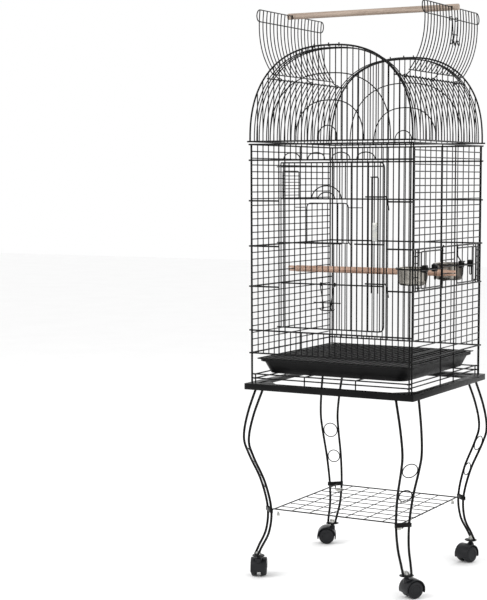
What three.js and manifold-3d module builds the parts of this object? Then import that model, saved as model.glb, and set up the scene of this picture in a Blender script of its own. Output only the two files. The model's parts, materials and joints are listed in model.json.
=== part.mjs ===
// Bird cage on a wheeled stand: wire cage with an arched top that opens in two flaps,
// a slide-out tray, feeding doors, two perches and a curved-leg stand on twin-wheel casters.
// Millimetres, +Z up. The origin is on the floor at the middle of the stand; the front faces -Y.
import * as THREE from 'three';
import { mergeVertices } from 'three/addons/utils/BufferGeometryUtils.js';
import Module from 'manifold-3d';

const wasm = await Module();
wasm.setup();

// ---------- driving dimensions ----------
const GAP = 0.3;                  // least gap between two touching pieces
const CLEAR = 1;                  // clearance between wires that slide past each other
const FRAME_WIRE = 4.6;           // rails and posts
const BAR_WIRE = 3.2;             // infill wires
const DOOR_WIRE = 4;              // door rails and edges
const CAGE_HALF = 253;            // floor plan, centre of the cage to the middle of a wall
const FRAME_TOP = 576;            // floor to the top of the stand's frame
const FRAME_HEIGHT = 18;          // skirt of the angle-section frame
const FRAME_WALL = 2;
const FRAME_FLANGE = 27;
const FRAME_MARGIN = 14;          // frame edge outside the cage wall
const TRAY_BASE_LIFT = 26;        // wires that carry the tray, above the frame
const LOW_RAIL_DROP = 12;         // second base rail below them
const WALL_FOOT_LIFT = 62;        // walls' lowest rail above the tray's wires
const WALL_HEIGHT = 596.5;        // lowest rail to top rail
const WALL_STEPS = 31;            // pitch count of the side walls' level wires
const FACE_STEPS = 28;            // pitch count of the front and back walls' upright wires
const DOME_LIFT = 8.5;            // dome's base rail above the walls' top rail
const DOME_RISE = 261;
const DOME_FULLNESS = 2.4;        // exponent of the arch's outline
const VAULT_INSET = 6;            // vault wires inside the end arches
const VAULT_STEPS = 24;
const FLAP_PITCHES = 18;          // pitches covered by one flap
const FLAP_OPEN = 84;             // degrees from closed to open
const FLAP_LOOP = 35;             // width of the grip loop at a flap's free edge
const FLAP_LOOP_REACH = 16;       // how far the grip loop runs past the last wire
const FLAP_HINGE_INSET = 57;      // hinge rail inside the cage's side wall
const FLAP_HINGE_DROP = 3.6;      // hinge rail below the vault's surface
const FLAP_RAIL_REACH = 14;       // flap's first rail from its hinge
const HOOP_CLEARANCE = 5.25;      // full hoops outside the ends of the grip loops
const PERCH_R = 8.25;
const PERCH_OVERHANG = 18;        // perch end outside the wall it rests on
const PERCH_STEP = 12;            // which level wire the lower perch rests on
const DOOR_OUTSET = 5.5;          // door's plane in front of the wall's plane
const DOOR_HINGE_STEP = 5;        // upright that carries the main door
const DOOR_JAMB_STEP = 24;        // upright that the main door closes against
const DOOR_FOOT = 66;             // door opening above the wall's lowest rail
const DOOR_HEADROOM = 44.5;       // door opening below the wall's top rail
const DOOR_LAP = 14;              // door's lowest rail above the opening's lower edge
const HOOK_RAIL_RISE = 140;       // rail that the hook hangs from, above the opening's lower edge
const ARCH_RAIL_DROP = 108;       // rail over the small door, below the opening's upper edge
const SMALL_DOOR_RISE = 124;      // small door's sill to the rail over it
const DOOR_SHUT_GAP = 5;          // door's free edge short of the jamb
const SMALL_DOOR_HALF = 65;
const SMALL_DOOR_DROP = 12;       // small door's top rail below the rail over it
const GUIDE_LAP = 8;              // small door's rails past its outer wires
const SMALL_DOOR_MID = -4;
const FEED_STEP_LOW = 10, FEED_STEP_HIGH = 16;   // level wires below and above the feeding openings
const FEED_HINGE_INSET = 41;      // feeding doors' hinge posts from the cage's corner
const SIDE_DOOR_LOW = 23, SIDE_DOOR_HIGH = 27;   // level wires below and above the left wall's door
const SHOULDER_DROP = 5.6;        // front and back walls' third rail below the side door
const SUPPORT_HALF = 48;          // side walls' two uprights from the middle
const CUP_R = 44, CUP_RIM = 3, CUP_TAPER = 6, CUP_HEIGHT = 50, CUP_WALL = 1.2;
const CUP_SHOULDER = 4, RIM_DEPTH = 3.4;         // from the cup's lip down to its shoulder and to the rim's underside
const CUP_PLAY = 0.8;             // holder's ring round the cup
const CUP_LIFT = 3;               // cup's foot above the feeding door's lower rail
const FEED_RAIL_INSET = 7;        // feeding door's rails inside the opening's level wires
const FEED_POST_INSET = 10;       // feeding door's second post from its hinge
const CLAMP_DEPTH = 3, CLAMP_WIDTH = 12, CLAMP_HEIGHT = 16;
const RAIL_TIP = 2;               // post's ends past the rails they carry
const LATCH_HALF = 9.5;           // lift rods, half their distance
const LATCH_SPREAD = 2.7;         // latch's middle from the door's edge, in half distances
const LATCH_LOW_TIP = 16, LATCH_HIGH_TIP = 60;   // rod ends past the hook rail and the rail over the small door
const LATCH_BAR_LEFT = 29, LATCH_BAR_RIGHT = 36, LATCH_BAR_LIFT = 6;
const LATCH_TAB_HEIGHT = 50, LATCH_TAB_WALL = 2, LATCH_TAB_LIFT = 8;
const DOOR_EDGE_INSET = 10;       // door's hinge-side upright from the hinge post
const DOOR_ARCS = [45, 25];       // half widths of the arcs over the small door
const ARC_SHAPE = 0.85;           // arc height over half width
const HOOK_CROSSBAR = 0.68;       // share of the hook's drop
const CUP_WALL_GAP = 8;           // cup's rim to the wall's plane
const CUP_BEFORE = 88, CUP_BEHIND = 72;          // front and back cup's middle from its hinge
const TRAY_SIDE_GAP = 11;         // tray's rim inside the wall's plane
const TRAY_TAPER = 24, TRAY_DEPTH = 40.7, TRAY_WALL = 2.4, TRAY_LIP = 7;
const GRATE_MARGIN = 4;           // grate's edge inside the tray's rim
const SHELF_Z = 200, SHELF_INSET = 49;
const CASTER_INSET = 15;          // swivel axis inside the wall's plane, in X and in Y
const CASTER_TRAIL = 18;          // axle behind the swivel axis
const WHEEL_R = 25, WHEEL_WIDTH = 17, WHEEL_GAP = 12, AXLE_R = 3;
const HOOD_GAP = 2.5, HOOD_WALL = 2.5, WEB_WIDTH = 9;
const HOOD_SKIRT = 0.3;           // radians that the hood reaches below the axle
const STEM_ROOT = 5.5;            // stem's foot below the hood's inner crown
const ROD_R = 3.6;                // stand's legs
const PLATE = 3;
const PLATE_LIFT = 16;            // caster plate's top above the wheels
const LEG_RINGS = [0.591, 0.425]; // rings between a leg's rods, as shares of its height
const LEG_RING_WIRE = 3;
// Infill wires are drawn coarser than their pitch: one in so many.
const FRONT_EVERY = 2, BACK_EVERY = 4, VAULT_EVERY = 3;
const LEVEL_STEPS = [0, 4, 8, 10, 12, 16, 20, 23, 27, 31];

// ---------- values that follow ----------
const TRAY_BASE_Z = FRAME_TOP + TRAY_BASE_LIFT;
const WALL_FOOT_Z = TRAY_BASE_Z + WALL_FOOT_LIFT;
const DOOR_BOTTOM = WALL_FOOT_Z + DOOR_FOOT;
const DOOR_TOP = WALL_FOOT_Z + WALL_HEIGHT - DOOR_HEADROOM;
const FLAP_HINGE_X = CAGE_HALF - FLAP_HINGE_INSET;
const FEED_HINGE = CAGE_HALF - FEED_HINGE_INSET;
const CUP_RIM_R = CUP_R + CUP_RIM, CUP_BASE_R = CUP_R - CUP_TAPER;
const CUP_INSET = CUP_RIM_R + CUP_WALL_GAP;
const TRAY_HALF = CAGE_HALF - TRAY_SIDE_GAP, TRAY_FOOT_HALF = TRAY_HALF - TRAY_TAPER;
const GRATE_HALF = TRAY_HALF - GRATE_MARGIN;
const SHELF_HALF = CAGE_HALF - SHELF_INSET;
const CASTER_AXIS = CAGE_HALF - CASTER_INSET;
const FRAME_HALF = CAGE_HALF + FRAME_MARGIN;
const WALL_TOP = WALL_FOOT_Z + WALL_HEIGHT;
const DOME_Z = WALL_TOP + DOME_LIFT;
const FACE_HALF = CAGE_HALF - 5;                  // edge uprights of the front and back walls
const SIDE_HALF = CAGE_HALF - 6;                  // edge uprights of the side walls
const FACE_PITCH = 2 * FACE_HALF / FACE_STEPS;
const SIDE_PITCH = WALL_HEIGHT / WALL_STEPS;
const VAULT_PITCH = 2 * CAGE_HALF / VAULT_STEPS;
const VAULT_HALF = CAGE_HALF - VAULT_INSET, VAULT_RISE = DOME_RISE - VAULT_INSET;
const faceX = (step) => -FACE_HALF + step * FACE_PITCH;
const sideZ = (step) => WALL_FOOT_Z + step * SIDE_PITCH;
const archZ = (x, half, rise) => DOME_Z + rise * (1 - (Math.abs(x) / half) ** DOME_FULLNESS) ** (1 / DOME_FULLNESS);
const FLAP_HINGE_Z = archZ(FLAP_HINGE_X, VAULT_HALF, VAULT_RISE) - FLAP_HINGE_DROP;
const FLAP_HALF = FLAP_PITCHES / 2 * VAULT_PITCH;
const HOOP_Y = FLAP_HALF + FLAP_LOOP_REACH + HOOP_CLEARANCE;
const FACE_RAILS = [
  WALL_FOOT_Z, DOOR_BOTTOM, sideZ(FEED_STEP_LOW), sideZ(FEED_STEP_HIGH),
  sideZ(SIDE_DOOR_LOW) - SHOULDER_DROP, DOOR_TOP, WALL_TOP,
];
const CORNERS = [['front_left', -1, -1], ['front_right', 1, -1], ['back_right', 1, 1], ['back_left', -1, 1]];

// ---------- finishes ----------
const finish = (color, roughness, metalness) => new THREE.MeshStandardMaterial({ color, roughness, metalness });
const BLACK_COAT = finish(0x141516, 0.45, 0.4);
const WOOD = finish(0xd9b99a, 0.7, 0);
const STEEL = finish(0xa9a7a2, 0.3, 0.9);
const TRAY_PLASTIC = finish(0x1a1b1c, 0.5, 0);
const CASTER_PLASTIC = finish(0x2b2d30, 0.55, 0);
const ZINC = finish(0xb5b6b4, 0.35, 0.8);

// ---------- solid helpers ----------
function solid(geometry) {
  const bare = geometry.index ? geometry : geometry.clone();
  bare.deleteAttribute('normal');
  bare.deleteAttribute('uv');
  const merged = mergeVertices(bare, 1e-4);
  return new wasm.Manifold(new wasm.Mesh({
    numProp: 3,
    vertProperties: new Float32Array(merged.attributes.position.array),
    triVerts: new Uint32Array(merged.index.array),
  }));
}

function toGeometry(manifold) {
  const mesh = manifold.getMesh();
  const geometry = new THREE.BufferGeometry();
  geometry.setAttribute('position', new THREE.BufferAttribute(mesh.vertProperties, 3));
  geometry.setIndex(new THREE.BufferAttribute(mesh.triVerts, 1));
  geometry.computeVertexNormals();
  return geometry;
}

const join = (shapes) => toGeometry(shapes.map(solid).reduce((sum, next) => sum.add(next)));
const cut = (base, tools) => toGeometry(tools.map(solid).reduce((left, tool) => left.subtract(tool), solid(base)));

const box = (x, y, z, sx, sy, sz) => new THREE.BoxGeometry(sx, sy, sz).translate(x, y, z);
const barX = (x0, x1, y, z, t) => box((x0 + x1) / 2, y, z, x1 - x0, t, t);
const barY = (x, y0, y1, z, t) => box(x, (y0 + y1) / 2, z, t, y1 - y0, t);
const barZ = (x, y, z0, z1, t) => box(x, y, (z0 + z1) / 2, t, t, z1 - z0);

// A flat wire along points (u, v), its section t by t, standing in the XZ plane at y.
function ribbon(points, t, y) {
  const sides = [[], []];
  points.forEach(([u, v], i) => {
    const before = points[Math.max(i - 1, 0)], after = points[Math.min(i + 1, points.length - 1)];
    const length = Math.hypot(after[0] - before[0], after[1] - before[1]);
    const nu = -(after[1] - before[1]) / length * t / 2, nv = (after[0] - before[0]) / length * t / 2;
    sides[0].push(new THREE.Vector2(u + nu, v + nv));
    sides[1].unshift(new THREE.Vector2(u - nu, v - nv));
  });
  return standing(new THREE.Shape([...sides[0], ...sides[1]]), t, y);
}

// A shape drawn in X and Z, thickened by t about the plane y.
function standing(shape, t, y) {
  return new THREE.ExtrudeGeometry(shape, { depth: t, bevelEnabled: false, curveSegments: 5 })
    .rotateX(Math.PI / 2).translate(0, y + t / 2, 0);
}

// A flat eye of width t that turns on a wire; about names the wire's direction.
function eye(about, x, y, z, wire, t) {
  const inner = wire * 0.75 + GAP, outer = inner + 2.6;
  const shape = new THREE.Shape().absarc(0, 0, outer, 0, Math.PI * 2);
  shape.holes.push(new THREE.Path().absarc(0, 0, inner, 0, Math.PI * 2, true));
  const ring = new THREE.ExtrudeGeometry(shape, { depth: t, bevelEnabled: false, curveSegments: 4 });
  ring.translate(0, 0, -t / 2);
  if (about === 'x') ring.rotateY(Math.PI / 2);
  if (about === 'y') ring.rotateX(Math.PI / 2);
  return ring.translate(x, y, z);
}

function squareRing(outer, inner, z0, z1) {
  const corners = (h) => [[-h, -h], [h, -h], [h, h], [-h, h]].map(([x, y]) => new THREE.Vector2(x, y));
  const shape = new THREE.Shape(corners(outer));
  shape.holes.push(new THREE.Path(corners(inner)));
  return new THREE.ExtrudeGeometry(shape, { depth: z1 - z0, bevelEnabled: false }).translate(0, 0, z0);
}

const frustum = (top, foot, z0, z1) => new THREE.CylinderGeometry(top * Math.SQRT2, foot * Math.SQRT2, z1 - z0, 4)
  .rotateY(Math.PI / 4).rotateX(Math.PI / 2).translate(0, 0, (z0 + z1) / 2);

const upright = (r, z0, z1, sides) => new THREE.CylinderGeometry(r, r, z1 - z0, sides)
  .rotateX(Math.PI / 2).translate(0, 0, (z0 + z1) / 2);

// ---------- scene graph ----------
const group = new THREE.Group();
function place(name, geometry, material, at = [0, 0, 0], turn = [0, 0, 0]) {
  const mesh = new THREE.Mesh(geometry, material);
  mesh.name = name;
  mesh.position.set(...at);
  mesh.rotation.set(...turn);
  group.add(mesh);
  return mesh;
}

// ---------- stand ----------
function baseFrame() {
  const flange = squareRing(FRAME_HALF, FRAME_HALF - FRAME_FLANGE, FRAME_TOP - FRAME_WALL, FRAME_TOP);
  const skirt = squareRing(FRAME_HALF, FRAME_HALF - FRAME_WALL, FRAME_TOP - FRAME_HEIGHT, FRAME_TOP);
  place('base_frame', join([flange, skirt]), BLACK_COAT);
}

// Middle line of a leg: distance from the cage's middle in X and in Y, and height.
const LEG_TOP_Z = FRAME_TOP - FRAME_WALL - GAP;
const NUT_PLATE_Z = 2 * WHEEL_R + PLATE_LIFT;
const legZ = (share) => NUT_PLATE_Z + share * (LEG_TOP_Z - NUT_PLATE_Z);
const legLine = new THREE.CatmullRomCurve3([
  [CAGE_HALF - 22, LEG_TOP_Z - 1], [CAGE_HALF + 1, legZ(0.823)], [CAGE_HALF + 10, legZ(0.685)],
  [CAGE_HALF, legZ(0.587)], [CAGE_HALF - 25, legZ(0.433)], [CAGE_HALF - 39, SHELF_Z + 4],
  [CAGE_HALF - 35, legZ(0.142)], [CASTER_AXIS - 4, legZ(0.051)], [CASTER_AXIS + 5, NUT_PLATE_Z],
].map(([out, z]) => new THREE.Vector3(out, 0, z)));
// Half the distance between a leg's two rods at a height.
const rodSpread = (z) => 12 + 22 * Math.min(1, Math.max(0, (z - NUT_PLATE_Z) / (LEG_TOP_Z - NUT_PLATE_Z))) ** 0.8;

class RodCurve extends THREE.Curve {
  constructor(side) {
    super();
    this.side = side;
  }
  getPoint(t, target = new THREE.Vector3()) {
    legLine.getPoint(t, target);
    return target.set(target.x * Math.SQRT2, this.side * rodSpread(target.z), target.z);
  }
}

function legRing(height, wire) {
  let u = 0;
  while (legLine.getPoint(u).z > height) u += 0.002;
  const middle = legLine.getPoint(u), along = legLine.getTangent(u);
  const lean = Math.atan2(along.x * Math.SQRT2, -along.z);
  const radius = rodSpread(height) - ROD_R - wire / 2 + 0.8;
  return new THREE.TorusGeometry(radius, wire / 2, 4, 12)
    .rotateY(Math.PI / 2 - lean).translate(middle.x * Math.SQRT2, 0, middle.z);
}

function leg(name, sx, sy) {
  const section = new THREE.Shape().absarc(0, 0, ROD_R, 0, Math.PI * 2);
  const rods = [-1, 1].map((side) => new THREE.ExtrudeGeometry(section, {
    steps: 11, curveSegments: 3, extrudePath: new RodCurve(side),
  }));
  const strap = box((CAGE_HALF - 39) * Math.SQRT2, 0, SHELF_Z, 4, 2 * rodSpread(SHELF_Z), 9);
  const foot = box(CASTER_AXIS * Math.SQRT2, 0, NUT_PLATE_Z - PLATE / 2, 34, 34, PLATE);
  const head = box((CAGE_HALF - 22) * Math.SQRT2, 0, LEG_TOP_Z - PLATE / 2, 12, 2 * rodSpread(LEG_TOP_Z) + 12, PLATE);
  const parts = [...rods, ...LEG_RINGS.map((share) => legRing(legZ(share), LEG_RING_WIRE)), strap, foot, head];
  place(`leg_${name}`, join(parts), BLACK_COAT, [0, 0, 0], [0, 0, Math.atan2(sy, sx)]);
}

function wingNut(name, x, y, z, turn) {
  const hub = upright(5, 0, 7, 8);
  const wings = box(0, 0, 7, 22, 2.4, 8);
  place(name, join([hub, wings]), ZINC, [x, y, z], [0, 0, turn]);
}

function shelf() {
  const wires = [-1, 1].flatMap((side) => [
    barX(-SHELF_HALF, SHELF_HALF, side * SHELF_HALF, SHELF_Z, DOOR_WIRE),
    barY(side * SHELF_HALF, -SHELF_HALF - DOOR_WIRE / 2, SHELF_HALF + DOOR_WIRE / 2, SHELF_Z, DOOR_WIRE),
  ]);
  for (const share of [-0.5, 0, 0.5]) {
    wires.push(barX(-SHELF_HALF, SHELF_HALF, share * SHELF_HALF, SHELF_Z, BAR_WIRE));
    wires.push(barY(share * SHELF_HALF, -SHELF_HALF, SHELF_HALF, SHELF_Z, BAR_WIRE));
  }
  place('storage_shelf', join(wires), BLACK_COAT);
}

const AXLE_Z = WHEEL_R;
function caster(name, sx, sy, heading) {
  const reach = WHEEL_GAP / 2 + WHEEL_WIDTH;
  const wheels = new THREE.LatheGeometry([
    [0, -reach], [WHEEL_R, -reach], [WHEEL_R, -WHEEL_GAP / 2], [AXLE_R, -WHEEL_GAP / 2],
    [AXLE_R, WHEEL_GAP / 2], [WHEEL_R, WHEEL_GAP / 2], [WHEEL_R, reach], [0, reach],
  ].map(([r, h]) => new THREE.Vector2(r, h)), 16);
  const hoodIn = WHEEL_R + HOOD_GAP, hoodOut = hoodIn + HOOD_WALL;
  const web = new THREE.Shape().moveTo(hoodIn + 1, 4).absarc(0, 4, hoodIn - 3, 0, Math.PI)
    .lineTo(-7, -7).lineTo(7, -7).closePath();
  web.holes.push(new THREE.Path().absarc(0, 0, AXLE_R + 2 * GAP, 0, Math.PI * 2, true));
  const hood = new THREE.Shape().absarc(0, 0, hoodOut, -HOOD_SKIRT, Math.PI + HOOD_SKIRT)
    .absarc(0, 0, hoodIn, Math.PI + HOOD_SKIRT, -HOOD_SKIRT, true);
  const stem = upright(6, hoodIn - STEM_ROOT, NUT_PLATE_Z - PLATE - GAP - AXLE_Z, 10).translate(CASTER_TRAIL, 0, 0);
  const collar = box(CASTER_TRAIL, 0, hoodIn + 2, 16, 16, 7);
  const at = [sx * CASTER_AXIS - CASTER_TRAIL * Math.cos(heading), sy * CASTER_AXIS - CASTER_TRAIL * Math.sin(heading), AXLE_Z];
  const housing = join([standing(web, WEB_WIDTH, 0), standing(hood, 2 * reach, 0), stem, collar]);
  place(`caster_housing_${name}`, housing, CASTER_PLASTIC, at, [0, 0, heading]);
  place(`caster_wheels_${name}`, wheels, CASTER_PLASTIC, at, [0, 0, heading]);
}

// ---------- cage walls ----------
// A piece of a front or back wall: uprights at some steps, rails from x0 to x1, and posts.
function facePart(name, y, steps, [z0, z1], rails, [x0, x1], posts) {
  const parts = steps.map((step) => barZ(faceX(step), y, z0, z1, BAR_WIRE));
  for (const z of rails) parts.push(barX(x0, x1, y, z, FRAME_WIRE));
  for (const [x, low, high, wire] of posts) parts.push(barZ(x, y, low, high, wire));
  place(name, join(parts), BLACK_COAT);
}

function stepsBetween(from, to, every) {
  const steps = [];
  for (let step = from + every; step < to; step += every) steps.push(step);
  return steps;
}

const cornerPost = (side) => [side * FACE_HALF, FRAME_TOP + GAP, WALL_TOP + 2, FRAME_WIRE];
function frontWall() {
  const y = -CAGE_HALF, full = [WALL_FOOT_Z, WALL_TOP];
  const left = faceX(DOOR_HINGE_STEP), right = faceX(DOOR_JAMB_STEP);
  const inside = [left + DOOR_WIRE / 2 + GAP, right - DOOR_WIRE / 2 - GAP];
  const beside = [stepsBetween(0, DOOR_HINGE_STEP, FRONT_EVERY), stepsBetween(DOOR_JAMB_STEP, FACE_STEPS, FRONT_EVERY)];
  const between = stepsBetween(DOOR_HINGE_STEP, DOOR_JAMB_STEP, FRONT_EVERY);
  const jamb = (x) => [x, ...full, DOOR_WIRE];
  facePart('front_panel_left', y, beside[0], full, FACE_RAILS, [-FACE_HALF, left], [cornerPost(-1), jamb(left)]);
  facePart('front_panel_right', y, beside[1], full, FACE_RAILS, [right, FACE_HALF], [cornerPost(1), jamb(right)]);
  facePart('front_panel_sill', y, between, [WALL_FOOT_Z, DOOR_BOTTOM], [WALL_FOOT_Z, DOOR_BOTTOM], inside, []);
  facePart('front_panel_header', y, between, [DOOR_TOP, WALL_TOP], [DOOR_TOP, WALL_TOP], inside, []);
}

function backWall() {
  const steps = stepsBetween(0, FACE_STEPS, BACK_EVERY);
  facePart('back_panel', CAGE_HALF, steps, [WALL_FOOT_Z, WALL_TOP], FACE_RAILS, [-FACE_HALF, FACE_HALF],
    [cornerPost(-1), cornerPost(1)]);
}

// Side wall at x. skip lists the openings as [y0, y1, first step, last step].
function sideWall(name, x, skip, posts) {
  const parts = [-1, 1].map((side) => barZ(x, side * SIDE_HALF, FRAME_TOP + GAP, WALL_TOP + 2, FRAME_WIRE));
  for (const side of [-1, 1]) parts.push(barZ(x, side * SUPPORT_HALF, FRAME_TOP + GAP, WALL_TOP, DOOR_WIRE));
  for (const [y, z0, z1] of posts) parts.push(barZ(x, y, z0, z1, DOOR_WIRE));
  for (const step of LEVEL_STEPS) {
    const holes = skip.filter(([, , low, high]) => step > low && step < high);
    const edge = step === 0 || step >= WALL_STEPS || step === FEED_STEP_LOW || step === FEED_STEP_HIGH;
    let from = -SIDE_HALF;
    for (const [y0, y1] of holes) {
      parts.push(barY(x, from, y0, sideZ(step), BAR_WIRE));
      from = y1;
    }
    parts.push(barY(x, from, SIDE_HALF, sideZ(step), edge ? FRAME_WIRE : BAR_WIRE));
  }
  place(name, join(parts), BLACK_COAT);
}

const feedBand = [FEED_STEP_LOW, FEED_STEP_HIGH];
const feedPosts = [-FEED_HINGE, FEED_HINGE].map((y) => [y, sideZ(FEED_STEP_LOW), sideZ(FEED_STEP_HIGH)]);
function sideWalls() {
  sideWall('left_panel', -CAGE_HALF, [[-SUPPORT_HALF, SUPPORT_HALF, SIDE_DOOR_LOW, SIDE_DOOR_HIGH]], []);
  sideWall('right_panel', CAGE_HALF, [
    [-FEED_HINGE, -SUPPORT_HALF, ...feedBand], [SUPPORT_HALF, FEED_HINGE, ...feedBand],
  ], feedPosts);
}

// Wire base under the tray, with runners whose front ends turn down.
function bottomFrame() {
  const half = CAGE_HALF - 10;
  const parts = [-1, 1].flatMap((side) => [
    barX(-half, half, side * half, TRAY_BASE_Z, DOOR_WIRE),
    barY(side * half, -half - DOOR_WIRE / 2, half + DOOR_WIRE / 2, TRAY_BASE_Z, DOOR_WIRE),
    barX(-half, half, side * half, TRAY_BASE_Z - LOW_RAIL_DROP, DOOR_WIRE),
    barY(side * half, -half - DOOR_WIRE / 2, half + DOOR_WIRE / 2, TRAY_BASE_Z - LOW_RAIL_DROP, DOOR_WIRE),
  ]);
  for (const share of [-1 / 3, 1 / 3]) {
    parts.push(barY(share * half, -half, half, TRAY_BASE_Z, DOOR_WIRE));
    parts.push(barZ(share * half, -half, FRAME_TOP + 2, TRAY_BASE_Z, DOOR_WIRE));
  }
  for (const [, sx, sy] of CORNERS) parts.push(barZ(sx * half, sy * half, FRAME_TOP + GAP, TRAY_BASE_Z, DOOR_WIRE));
  place('bottom_frame', join(parts), BLACK_COAT);
}

// ---------- dome ----------
// Points of the arch outline from angle a0 to a1, in degrees from the +X foot.
function archPoints(half, rise, a0, a1, count, foot = DOME_Z) {
  return Array.from({ length: count + 1 }, (_, i) => {
    const a = THREE.MathUtils.degToRad(a0 + (a1 - a0) * i / count);
    const c = Math.cos(a), s = Math.sin(a), power = 2 / DOME_FULLNESS;
    return [Math.sign(c) * Math.abs(c) ** power * half, foot + Math.abs(s) ** power * rise];
  });
}

function domeEnd(name, y) {
  const parts = [
    ribbon(archPoints(CAGE_HALF, DOME_RISE, 0, 180, 20), FRAME_WIRE, y),
    barX(-CAGE_HALF - FRAME_WIRE / 2, CAGE_HALF + FRAME_WIRE / 2, y, DOME_Z, FRAME_WIRE),
    ribbon(archPoints(CAGE_HALF * 0.74, DOME_RISE * 0.71, 0, 180, 12), BAR_WIRE, y),
    ribbon(archPoints(CAGE_HALF * 0.415, DOME_RISE * 0.425, 0, 180, 8), BAR_WIRE, y),
  ];
  for (let step = BACK_EVERY; step < FACE_STEPS; step += BACK_EVERY) {
    const x = faceX(step);
    parts.push(barZ(x, y, DOME_Z, archZ(x, CAGE_HALF, DOME_RISE), BAR_WIRE));
  }
  place(name, join(parts), BLACK_COAT);
}

const hingeAngle = THREE.MathUtils.radToDeg(Math.acos((FLAP_HINGE_X / VAULT_HALF) ** (DOME_FULLNESS / 2)));
function domeSide(name, side) {
  const length = CAGE_HALF - FRAME_WIRE / 2 - GAP, rail = HOOP_Y - BAR_WIRE / 2 - GAP;
  const parts = [
    barY(side * VAULT_HALF, -length, length, DOME_Z, FRAME_WIRE),
    barY(side * FLAP_HINGE_X, -rail, rail, FLAP_HINGE_Z, DOOR_WIRE),
  ];
  for (let step = 0; step <= FLAP_PITCHES; step += VAULT_EVERY) {
    const rib = archPoints(VAULT_HALF, VAULT_RISE, 0, hingeAngle, 5).map(([x, z]) => [side * x, z]);
    parts.push(ribbon(side > 0 ? rib : rib.reverse(), BAR_WIRE, -FLAP_HALF + step * VAULT_PITCH));
  }
  place(name, join(parts), BLACK_COAT);
}

// Full hoop between an end arch and the flaps; its feet stand on the dome's side rails.
function domeHoop(name, y) {
  const lift = FRAME_WIRE / 2 + 2 * GAP;
  const foot = THREE.MathUtils.radToDeg(Math.asin((lift / VAULT_RISE) ** (DOME_FULLNESS / 2)));
  place(name, ribbon(archPoints(VAULT_HALF, VAULT_RISE, foot, 180 - foot, 24), BAR_WIRE, y), BLACK_COAT);
}

// Flap profile when closed, from the hinge side to the free edge, relative to the hinge.
const FLAP_RAIL_X = FLAP_HINGE_X - FLAP_RAIL_REACH;
const FLAP_EDGE_X = 3.6;
function flapProfile() {
  const angle = (x) => THREE.MathUtils.radToDeg(Math.acos((x / VAULT_HALF) ** (DOME_FULLNESS / 2)));
  return archPoints(VAULT_HALF, VAULT_RISE, angle(FLAP_RAIL_X), angle(FLAP_EDGE_X), 8)
    .map(([x, z]) => [x - FLAP_HINGE_X, z - FLAP_HINGE_Z]);
}
const profile = flapProfile();
const flapEdge = profile[profile.length - 1];
// The grip loop's inner wire lies FLAP_LOOP before the free edge.
const flapGrip = profile.findLast(([u, v]) => Math.hypot(u - flapEdge[0], v - flapEdge[1]) >= FLAP_LOOP - 6);
// A point of the right flap, relative to its hinge, once the flap is open.
function opened([u, v]) {
  const a = THREE.MathUtils.degToRad(FLAP_OPEN);
  return [FLAP_HINGE_X + u * Math.cos(a) + v * Math.sin(a), FLAP_HINGE_Z - u * Math.sin(a) + v * Math.cos(a)];
}

function flap(name, side) {
  const reach = FLAP_HALF + FLAP_LOOP_REACH;
  const mirror = (points) => (side > 0 ? points : points.map(([u, v]) => [-u, v]).reverse());
  const parts = [
    barY(side * profile[0][0], -FLAP_HALF - 4, FLAP_HALF + 4, profile[0][1], BAR_WIRE),
    barY(side * flapEdge[0], -reach, reach, flapEdge[1], BAR_WIRE),
    barY(side * flapGrip[0], -reach, reach, flapGrip[1], BAR_WIRE),
  ];
  for (let step = 0; step <= FLAP_PITCHES; step += VAULT_EVERY) {
    parts.push(ribbon(mirror(profile), BAR_WIRE, -FLAP_HALF + step * VAULT_PITCH));
  }
  const armFrom = (DOOR_WIRE * 0.75 + GAP + 1.5) / Math.hypot(...profile[0]);
  const loopEnd = profile.slice(profile.indexOf(flapGrip));
  for (const end of [-1, 1]) parts.push(ribbon(mirror(loopEnd), BAR_WIRE, end * reach));
  for (const y of [-FLAP_HALF + VAULT_PITCH / 2, VAULT_PITCH / 2, FLAP_HALF - VAULT_PITCH / 2]) {
    const arm = ribbon(mirror([profile[0].map((v) => v * armFrom), profile[0]]), BAR_WIRE, y);
    parts.push(eye('y', 0, y, 0, DOOR_WIRE, BAR_WIRE), arm);
  }
  const turn = side * THREE.MathUtils.degToRad(FLAP_OPEN);
  place(name, join(parts), BLACK_COAT, [side * FLAP_HINGE_X, 0, FLAP_HINGE_Z], [0, turn, 0]);
}

// ---------- perches ----------
const PERCH_Y = VAULT_PITCH / 2;               // midway between two flap wires
const rod = (half) => new THREE.CylinderGeometry(PERCH_R, PERCH_R, 2 * half, 12).rotateZ(Math.PI / 2);

function topPerch() {
  const [wireX, wireZ] = opened(flapEdge);
  const half = wireX + PERCH_OVERHANG;
  const room = BAR_WIRE * 0.75 + GAP;
  // Notch over the flap's edge wire: steep outside, sloping inside, so that it lifts off.
  const tools = [-1, 1].map((side) => standing(new THREE.Shape([
    [wireX + room, -2 * PERCH_R], [wireX + room, room], [wireX - room, room], [wireX - room - 3 * PERCH_R, -2 * PERCH_R],
  ].map(([x, z]) => new THREE.Vector2(side * x, z))), 3 * PERCH_R, 0));
  place('top_perch', cut(rod(half), tools), WOOD, [0, PERCH_Y, wireZ]);
}

function lowerPerch() {
  const tools = [-1, 1].map((side) => box(side * (CAGE_HALF + PERCH_OVERHANG / 2 - 1), 0, 0,
    PERCH_OVERHANG + 6, 3 * PERCH_R, BAR_WIRE + 2 * GAP));
  place('lower_perch', cut(rod(CAGE_HALF + PERCH_OVERHANG), tools), WOOD, [0, PERCH_Y, sideZ(PERCH_STEP)]);
}

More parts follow.
